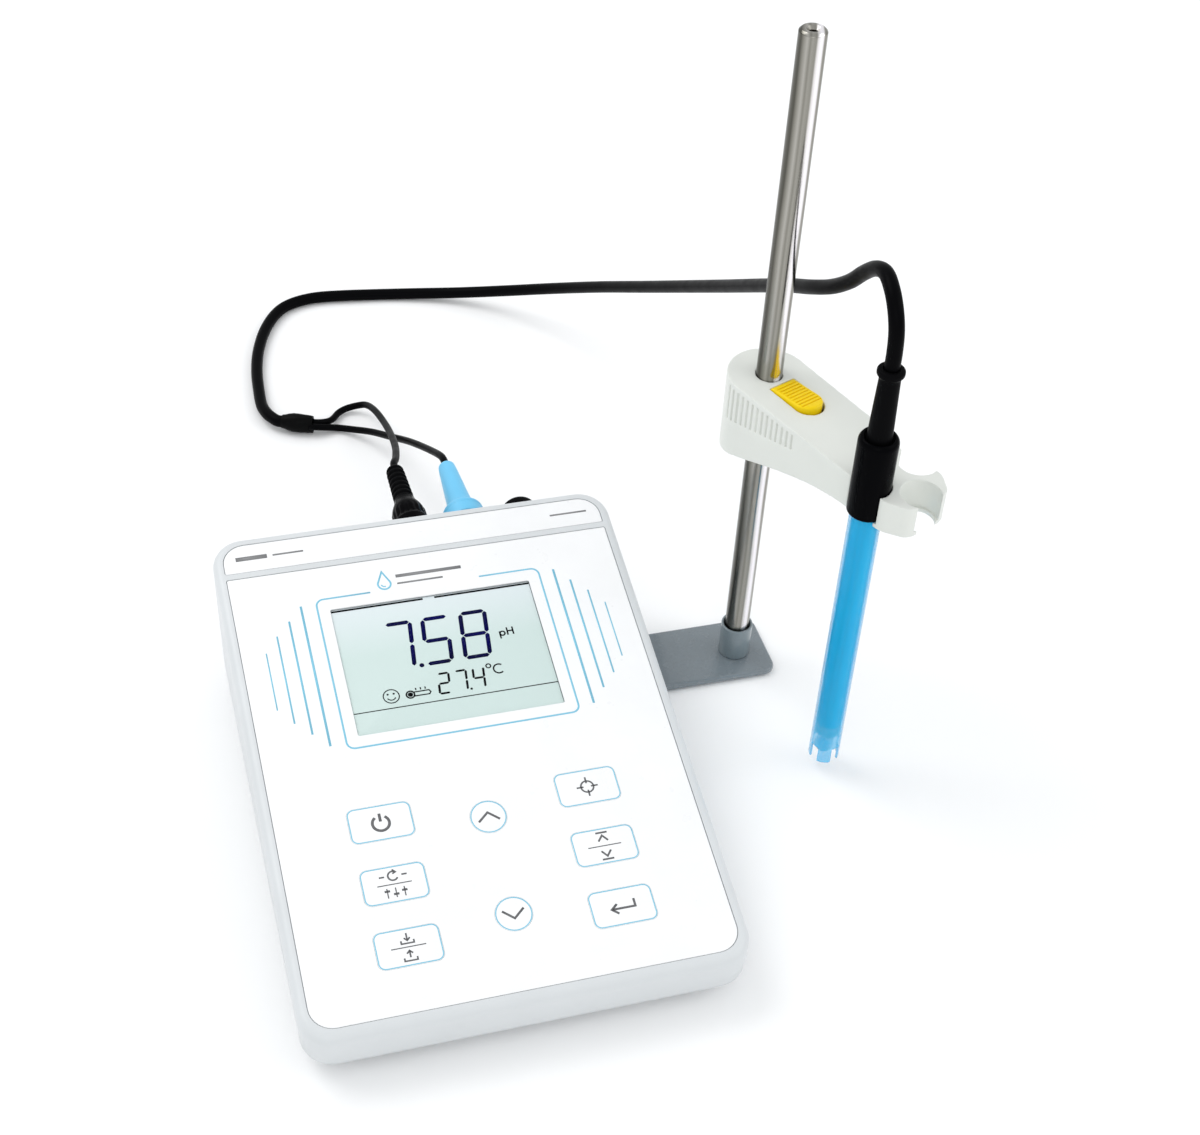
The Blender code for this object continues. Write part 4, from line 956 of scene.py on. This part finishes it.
def make_display():
    half, low, high = DISPLAY
    glass = rounded_rectangle(-half, half, low, high, [0.6] * 4, 4)
    add("display_face", slab(glass, -3.8, DISPLAY_FACE, 0.15, steps=3), "display", PANEL, ["display_glass"])
    cover = rounded_rectangle(-half + 0.05, half - 0.05, low + 0.05, high - 0.05, [0.7] * 4, 4)
    add("display_cover", slab(cover, FILM_LOW, FILM_TOP, 0.1, steps=3), "window", PANEL, ["display_window"])
    ink = (DISPLAY_FACE - 0.01, DISPLAY_FACE + 0.04)
    large = reading(*LARGE_READING) + [circle((-9.9, 11.9), 0.95, 24)]
    add("display_digits", joined([prism(bar, *ink) for bar in large]), "digit", PANEL,
        smooth=None)
    dots = [((6.3, -2.1), 0.5), ((-25.2, 1.2), 0.42), ((-22.9, 1.2), 0.42)]
    small = reading(*SMALL_READING) + [circle(spot, radius, 16) for spot, radius in dots]
    solids = [prism(bar, *ink) for bar in small]
    lines = [(circle((-24.0, 0.2), 3.0, 40), 0.42, True), (arc((-24.0, 0.2), 1.7, 205, 335, 12), 0.42),
             (circle((14.8, 6.9), 0.9, 24), 0.5, True), (arc((18.5, 5.0), 2.05, 50, 310, 16), 0.6),
             ([(-39.2, -5.1), (39.2, -5.1)], 0.4), ([(-39.2, 42.4), (-3.3, 42.4)], 0.8),
             ([(1.3, 42.4), (39.2, 42.4)], 0.8)]
    lines += unit_lines(22.6, 19.7) + thermometer_lines(-18.0, -0.4)
    solids += [ribbon(line[0], line[1], *ink, len(line) > 2) for line in lines]
    add("display_symbols", joined(solids), "segment", PANEL, smooth=None)


def unit_lines(x, base):
    """The unit beside the reading, drawn as plain strokes."""
    stroke = 0.6
    return [(circle((x + 1.0, base + 1.05), 0.95, 20), stroke, True),
            ([(x, base + 2.1), (x, base - 1.3)], stroke),
            ([(x + 3.0, base), (x + 3.0, base + 3.5)], stroke),
            ([(x + 5.2, base), (x + 5.2, base + 3.5)], stroke),
            ([(x + 3.0, base + 1.8), (x + 5.2, base + 1.8)], stroke)]


def thermometer_lines(x, y):
    """A small lying thermometer with three marks, for the temperature reading."""
    lines = [(circle((x + 1.2, y), 1.55, 24), 0.6, True), (circle((x + 1.2, y), 0.5, 12), 1.0, True),
             ([(x + 2.5, y + 0.9), (x + 8.4, y + 0.9), (x + 9.0, y), (x + 8.4, y - 0.9),
               (x + 2.5, y - 0.9)], 0.5)]
    return lines + [([(x + mark, y + 1.6), (x + mark, y + 2.6)], 0.5) for mark in (3.6, 5.4, 7.2)]


# ---------------------------------------------------------------- connectors

def connector(name, corners, look, x, node, sides=48, wave=None):
    """A turned piece on an axis that runs straight back from the case; heights are distances along y."""
    place = BENCH @ shift(x, 0, CONNECTOR_HEIGHT) @ Matrix.Rotation(math.radians(-90), 4, "X")
    return add(name, turned(softened(corners), sides, wave=wave), look, place, [node])


def make_sockets():
    connector("probe_jack", [
        (0, 72, 0), (4.3, 72, 0.2), (4.3, FACE, 0), (5.6, FACE, 0.2), (5.6, FACE + 1.5, 0.3),
        (4.1, FACE + 1.5, 0.2), (4.1, 92.5, 0.3), (1.6, 92.5, 0.2), (1.6, 85, 0), (0, 85, 0)],
        "nickel", PROBE_X, "probe_socket")
    connector("electrode_jack", [
        (0, 70, 0), (6.2, 70, 0.2), (6.2, FACE, 0), (7.6, FACE, 0.3), (7.6, FACE + 2, 0.4),
        (4.8, FACE + 2, 0.2), (4.8, 95, 0.3), (3.9, 95, 0.3), (3.9, 87, 0), (0.9, 87, 0), (0.9, 93, 0.4),
        (0, 93, 0)],
        "nickel", ELECTRODE_X, "electrode_socket")
    connector("supply_jack", [
        (0, 72, 0), (4.3, 72, 0.2), (4.3, FACE, 0), (6.0, FACE, 0.2), (6.0, FACE + 1.3, 0.4),
        (4.0, FACE + 1.3, 0.1), (4.0, 90, 0.3), (2.8, 90, 0.2), (2.8, 84, 0), (1.0, 84, 0), (1.0, 89, 0.4),
        (0, 89, 0)],
        "black", SUPPLY_X, "supply_socket")
    connector("supply_cover", [
        (0, 90.3, 0), (4.3, 90.3, 0.2), (4.3, 84.8, 0.3), (7.2, 84.8, 0.4), (7.6, 85.4, 0.3),
        (7.6, 94.6, 1.2), (6.4, 96.1, 1.0), (0, 96.2, 0)], "rubber", SUPPLY_X, "supply_cap")


def make_plugs():
    def grip(angle, height):
        ridged = 96.5 < height < 102
        return 1.0 + (0.022 * math.cos(18 * angle) if ridged else 0.0)

    body = [(0, 86, 0), (1.2, 86.6, 0.2), (1.3, 92.8, 0), (4.4, 92.8, 0), (4.4, 84.8, 0.3),
            (7.4, 84.8, 0.4), (7.9, 85.6, 0.3), (7.9, 94.6, 0.5), (7.1, 96.2, 0.5), (7.05, 98, 0.5),
            (7.05, 99.5, 0.5), (7.0, 101, 0.6), (6.5, 104.2, 1.6), (4.9, 108.0, 1.2), (4.5, 110, 0.3),
            (0, 110, 0)]
    plug = connector("probe_plug_body", body, "black", PROBE_X, "probe_plug", 144, grip)
    ribs = [(0, 109.9, 0), (4.4, 109.9, 0.3)]
    for rib in range(7):
        start, outer = 111.0 + 2.9 * rib, 4.4 - 0.08 * rib
        ribs += [(outer, start + 0.1, 0.4), (outer - 0.75, start + 0.5, 0.3),
                 (outer - 0.75, start + 1.4, 0.3), (outer - 0.1, start + 1.8, 0.4)]
    ribs += [(3.5, 131.4, 0.5), (2.9, 132, 0.4), (1.65, 132, 0.1), (1.65, 131, 0), (0, 131, 0)]
    relief = connector("probe_plug_relief", ribs, "rubber", PROBE_X, "probe_relief")

    def knurl(angle, height):
        return 1.0 + (0.012 * math.cos(30 * angle) if 86 < height < 90.6 else 0.0)

    metal_plug = connector("electrode_plug_shell", [
        (0, 95.3, 0), (5.1, 95.3, 0), (5.1, 85.2, 0.2), (7.2, 85.2, 0.4), (7.2, 86.2, 0.2),
        (7.15, 90.4, 0.2), (7.15, 96.2, 0.3), (4.2, 96.2, 0), (4.2, 104, 0), (0, 104, 0)],
        "nickel", ELECTRODE_X, "electrode_plug", 120, knurl)
    boot = connector("blue_boot", [
        (0, 104.4, 0), (4.5, 104.4, 0), (4.5, 96.6, 0), (7.5, 96.6, 0), (7.5, 91, 0.2), (8.1, 91, 0.4),
        (8.35, 92.4, 0.8), (8.4, 96.0, 0.4), (8.75, 96.8, 0.4), (8.5, 98.1, 0.5), (6.7, 99.3, 1.2),
        (5.7, 101.6, 1.4), (5.2, 105.5, 3.0), (3.85, 126.5, 2.0), (3.5, 129.4, 0.8), (2.6, 130, 0.4),
        (1.65, 130, 0.1), (1.65, 129, 0), (0, 129, 0)], "boot", ELECTRODE_X, "electrode_boot", 64)
    return {"probe": [plug, relief], "electrode": [metal_plug, boot]}


# ---------------------------------------------------------------- stand

def make_stand():
    outline = rounded_rectangle(-2.0, 143.5, 25.6, 58.0, [5, 5, 3, 3])
    plate = shape("stand_plate", slab(outline, 1.0, 3.5, 1.0, 0.4), looks["plate"])
    wells = [drill(3.3, 0, 2.6, x, y, 32) for x, y in PLATE_SCREWS] + [drill(4.5, 0, 2.4, ROD_X, ROD_Y, 32)]
    cut(plate, wells)
    settle(plate, BENCH, "root", ["base_plate"])
    collar = softened([(5.3, ROD_FOOT, 0), (6.5, ROD_FOOT, 0.2), (6.5, 19.0, 0.5), (5.6, 19.0, 0.2),
                       (5.3, 18.0, 0)])
    add("collar", turned(collar, 64, ring=True), "collar", ARM, ["rod_collar"])
    rod = softened([(0, ROD_FOOT, 0), (ROD_RADIUS, ROD_FOOT, 0.1), (ROD_RADIUS, ROD_TOP - 0.9, 0.3),
                    (ROD_RADIUS - 0.9, ROD_TOP, 0.2), (2.5, ROD_TOP, 0.2), (1.5, ROD_TOP - 1.2, 0.2),
                    (1.5, ROD_TOP - 6, 0), (0, ROD_TOP - 7, 0)])
    add("steel_rod", turned(rod, 96), "rod", ARM, ["rod"])
    pad = softened([(0, 0, 0), (11.4, 0, 0.3), (12, 0.7, 0), (0, 0.7, 0)])
    add("stand_pad", turned(pad, 64), "rubber", ARM, ["plate_pad"])


# ---------------------------------------------------------------- electrode holder

def arm_outline():
    """Plan of the holder: round behind the rod, almost parallel sides, blunt head with bevelled corners."""
    half = ARM_HALF_FRONT
    head = softened([(-half, -60.5, 3), (-14.3, -77.2, 2.5), (-9.6, -85.2, 2.2), (-6.1, -86.2, 0.8),
                     (6.1, -86.2, 0.8), (9.6, -85.2, 2.2), (14.3, -77.2, 2.5), (11.0, -60.4, 1),
                     (half, -50.5, 5)], 5)
    return arc((0, 0), ARM_HALF_REAR, -8, 188, 40) + head


def arm_top_at(y):
    return ARM_TOP + ARM_TOP_SLOPE * y


def button_outline(margin=0.0, front_margin=0.0):
    half = BUTTON_HALF + margin
    front = BUTTON_FRONT - front_margin
    back = BUTTON_BACK + margin
    return arc((0, front + half), half, 180, 360, 24) + [(half, back), (-half, back)]


def make_arm():
    top = [(x, y, arm_top_at(y)) for x, y in arm_outline()]
    arm = shape("holder", loft([at_height(arm_outline(), 105), top]), looks["holder"])
    under = softened([(y, z, 6) for y, z in ARM_UNDERSIDE], 4) + [(-95, 90), (20, 90)]
    cut(arm, [loft([[(-25, y, z) for y, z in under], [(25, y, z) for y, z in under]])])
    tools = [turned([(0, 100), (7.0, 100), (7.0, 143), (5.15, 143), (5.15, 150), (0, 150)]),
             prism(button_outline(GAP, 1.1), 135.6, 150)]
    for x, y in POCKETS:
        tools.append(moved(turned([(0, 120), (POCKET_MOUTH, 120), (POCKET_MOUTH, POCKET_LEDGE),
                                   (POCKET_RADIUS, POCKET_LEDGE), (POCKET_RADIUS, 150), (0, 150)]), x, y, 0))
    cut(arm, tools)
    cut(arm, [prism(rounded_rectangle(-12.6, 12.6, -29.2, -9.6, [2] * 4), 100, 133),
              prism(rounded_rectangle(-11.0, 9.6, -55.0, -31.4, [2] * 4), 100, 141.2)])
    cut(arm, [block(-3.3, 3.3, -10.5, -6.2, 119.7, 130.3)])
    grooves = []
    for number in range(GRIP_GROOVES):
        y = GRIP_START - GRIP_PITCH * number
        if y > 0:
            half = math.sqrt(ARM_HALF_REAR ** 2 - y ** 2)
        else:
            half = ARM_HALF_REAR + (ARM_HALF_REAR - ARM_HALF_FRONT) * y / 56
        for sign in (-1, 1):
            near, far = sorted((sign * (half - GRIP_DEPTH), sign * 20))
            high = arm_top_at(y) - 2.2
            low = high - GRIP_LENGTH + GRIP_SHORTENING * number
            grooves.append(block(near, far, y - GRIP_HALF_WIDTH, y + GRIP_HALF_WIDTH, low, high))
    cut(arm, grooves)
    soften(arm, 0.25, 4)
    settle(arm, ARM, "arm", ["holder_arm"], None)


def make_button():
    """Yellow release: level with the holder by the rod, rising to a round end, with cross ridges on top."""
    def top_at(y):
        along = (BUTTON_BACK - y) / (BUTTON_BACK - BUTTON_FRONT)
        return arm_top_at(y) + BUTTON_ABOVE + BUTTON_RISE * along

    outline = button_outline()
    rings = [at_height(outline, 139.5), [(x, y, top_at(y) - BUTTON_EDGE) for x, y in outline]]
    for inwards, down in quarter(5)[1:]:
        smaller = inset(outline, BUTTON_EDGE * inwards)
        rings.append([(x, y, top_at(y) - BUTTON_EDGE * down) for x, y in smaller])
    button = shape("button", loft(rings), looks["button"])
    grooves = []
    for number in range(RIDGES):
        y = RIDGE_START - RIDGE_PITCH * number
        grooves.append(block(-4.7, 4.7, y - 0.26, y + 0.26, top_at(y) - 0.75, 160))
    cut(button, grooves)
    soften(button, 0.13, 2)
    settle(button, ARM, "button", ["release_button"], None)


# ---------------------------------------------------------------- electrode

def make_electrode():
    place = ARM @ shift(*ELECTRODE_POCKET, 0)
    cap = softened([(0, 141, 0), (6.3, 141, 0), (6.3, 131.6, 0.2), (7.0, 131.6, 0.5), (7.4, 132.2, 0.3),
                    (7.4, 163.6, 1.2), (6.4, 165, 0.5), (5.6, 165, 0.3), (5.2, 164.2, 0.3),
                    (4.9, 164.2, 0.2), (4.9, 158, 0), (0, 158, 0)])
    add("electrode_head", turned(cap, 96), "black", place, ["electrode_cap"], "arm")
    relief = softened([(0, 158.3, 0), (4.6, 158.3, 0), (4.6, 165.6, 0.8), (4.5, 168, 1), (3.85, 189.4, 0.8),
                       (3.95, 190.6, 0.6), (4.95, 191.6, 0.5), (4.95, 193.3, 0.5), (4.1, 194, 0.4),
                       (2.9, 194, 0.3), (2.8, 193, 0), (0, 193, 0)])
    add("cable_relief", turned(relief, 64), "rubber", place, ["strain_relief"], "arm")
    wall = softened([(5.0, 6.0, 0.2), (6.0, 6.0, 0.5), (6.0, 140.7, 0.1), (5.0, 140.7, 0.1)], closed=True)
    body = shape("electrode_tube", turned(wall, 64, ring=True), looks["electrode"])
    cut(body, [block(-9, 9, -1.9, 1.9, 0, 13.5)])
    cut(body, [block(-1.9, 1.9, -9, 9, 0, 13.4)])
    settle(body, place, "arm", ["electrode_body"])
    # A sheet just inside the tube's wall, carrying the tube's painted highlight and shade
    inner = LINER_RADIUS - 0.25
    liner = [(inner, 24.5), (LINER_RADIUS, 24.5), (LINER_RADIUS, 140), (inner, 140)]
    add("tube_painted_sheen", turned(liner, 64, ring=True), "liner", place, body="arm")


def make_spring():
    """Return spring under the button, swept along a helix."""
    turns, radius, foot, top = 2.5, 2.4, 136.3, 138.8
    steps = 90
    coil = []
    for step in range(steps + 1):
        angle = 2 * math.pi * turns * step / steps
        coil.append((radius * math.cos(angle), SPRING_AT + radius * math.sin(angle),
                     foot + (top - foot) * step / steps))
    spring = settle(shape("return_spring", sweep(coil, 0.35, 10), looks["spring"]), ARM, None,
                    ["button_spring"], None)
    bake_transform(spring)


# ---------------------------------------------------------------- carried-over nodes

def finish_nodes():
    """Nodes whose shape already serves keep it, and take the look of their slot."""
    wear = {
        "backlight": "diffuser", "main_board": "board", "dome_sheet": "dome", "rod_bush": "bush",
        "clamp_shoe": "brass", "sensor_carrier": "holder", "glass_bulb": "glass",
        "temperature_probe": "steel", "plate_screw_1": "zinc", "plate_screw_2": "zinc", "rod_screw": "zinc",
    }
    for group in ("board_screw", "case_screw"):
        for place in ("left_front", "right_front", "left_rear", "right_rear"):
            wear[f"{group}_{place}"] = "zinc"
    for node, look in wear.items():
        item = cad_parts[node]
        item.data.materials.clear()
        item.data.materials.append(looks[look].material)


# ---------------------------------------------------------------- stage

def make_stage():
    floor = bmesh.new()
    bmesh.ops.create_grid(floor, x_segments=1, y_segments=1, size=6.0)
    pale = Look("pale_floor", (0.98, 0.98, 0.98), 0.7, Specular_IOR_Level=0.0)
    pale.vary("Roughness", pale.noise(3), 0.68, 0.75)
    item = shape("floor", floor, pale)
    for name, spot, aim, size, power in (
            ("key_light", (-0.9, 0.9, 1.7), (0.0, 0.0, 0.05), 1.2, 12),
            ("fill_light", (1.6, -0.7, 1.3), (0.0, 0.0, 0.1), 1.4, 6),
            ("front_light", (-0.7, -1.7, 1.2), (0.0, 0.0, 0.1), 1.2, 4)):
        light = bpy.data.lights.new(name, "AREA")
        light.size = size
        light.energy = power
        lamp = bpy.data.objects.new(name, light)
        bpy.context.scene.collection.objects.link(lamp)
        lamp.location = spot
        lamp.rotation_euler = (Vector(aim) - Vector(spot)).to_track_quat("-Z", "Y").to_euler()
    world = bpy.data.worlds.new("studio")
    bpy.context.scene.world = world
    world.use_nodes = True
    background = world.node_tree.nodes["Background"]
    background.inputs["Color"].default_value = (0.97, 0.985, 1.0, 1.0)
    background.inputs["Strength"].default_value = 0.85
    bpy.context.scene.view_settings.view_transform = "Standard"


# ---------------------------------------------------------------- making it

looks = make_looks()
LEGENDS = make_legends()
lead_direction = make_cables()
make_leads(lead_direction, make_plugs())
make_case()
make_tray()
make_labels()
make_keys()
make_display()
make_sockets()
make_stand()
make_arm()
make_button()
make_spring()
make_electrode()
finish_nodes()
make_stage()
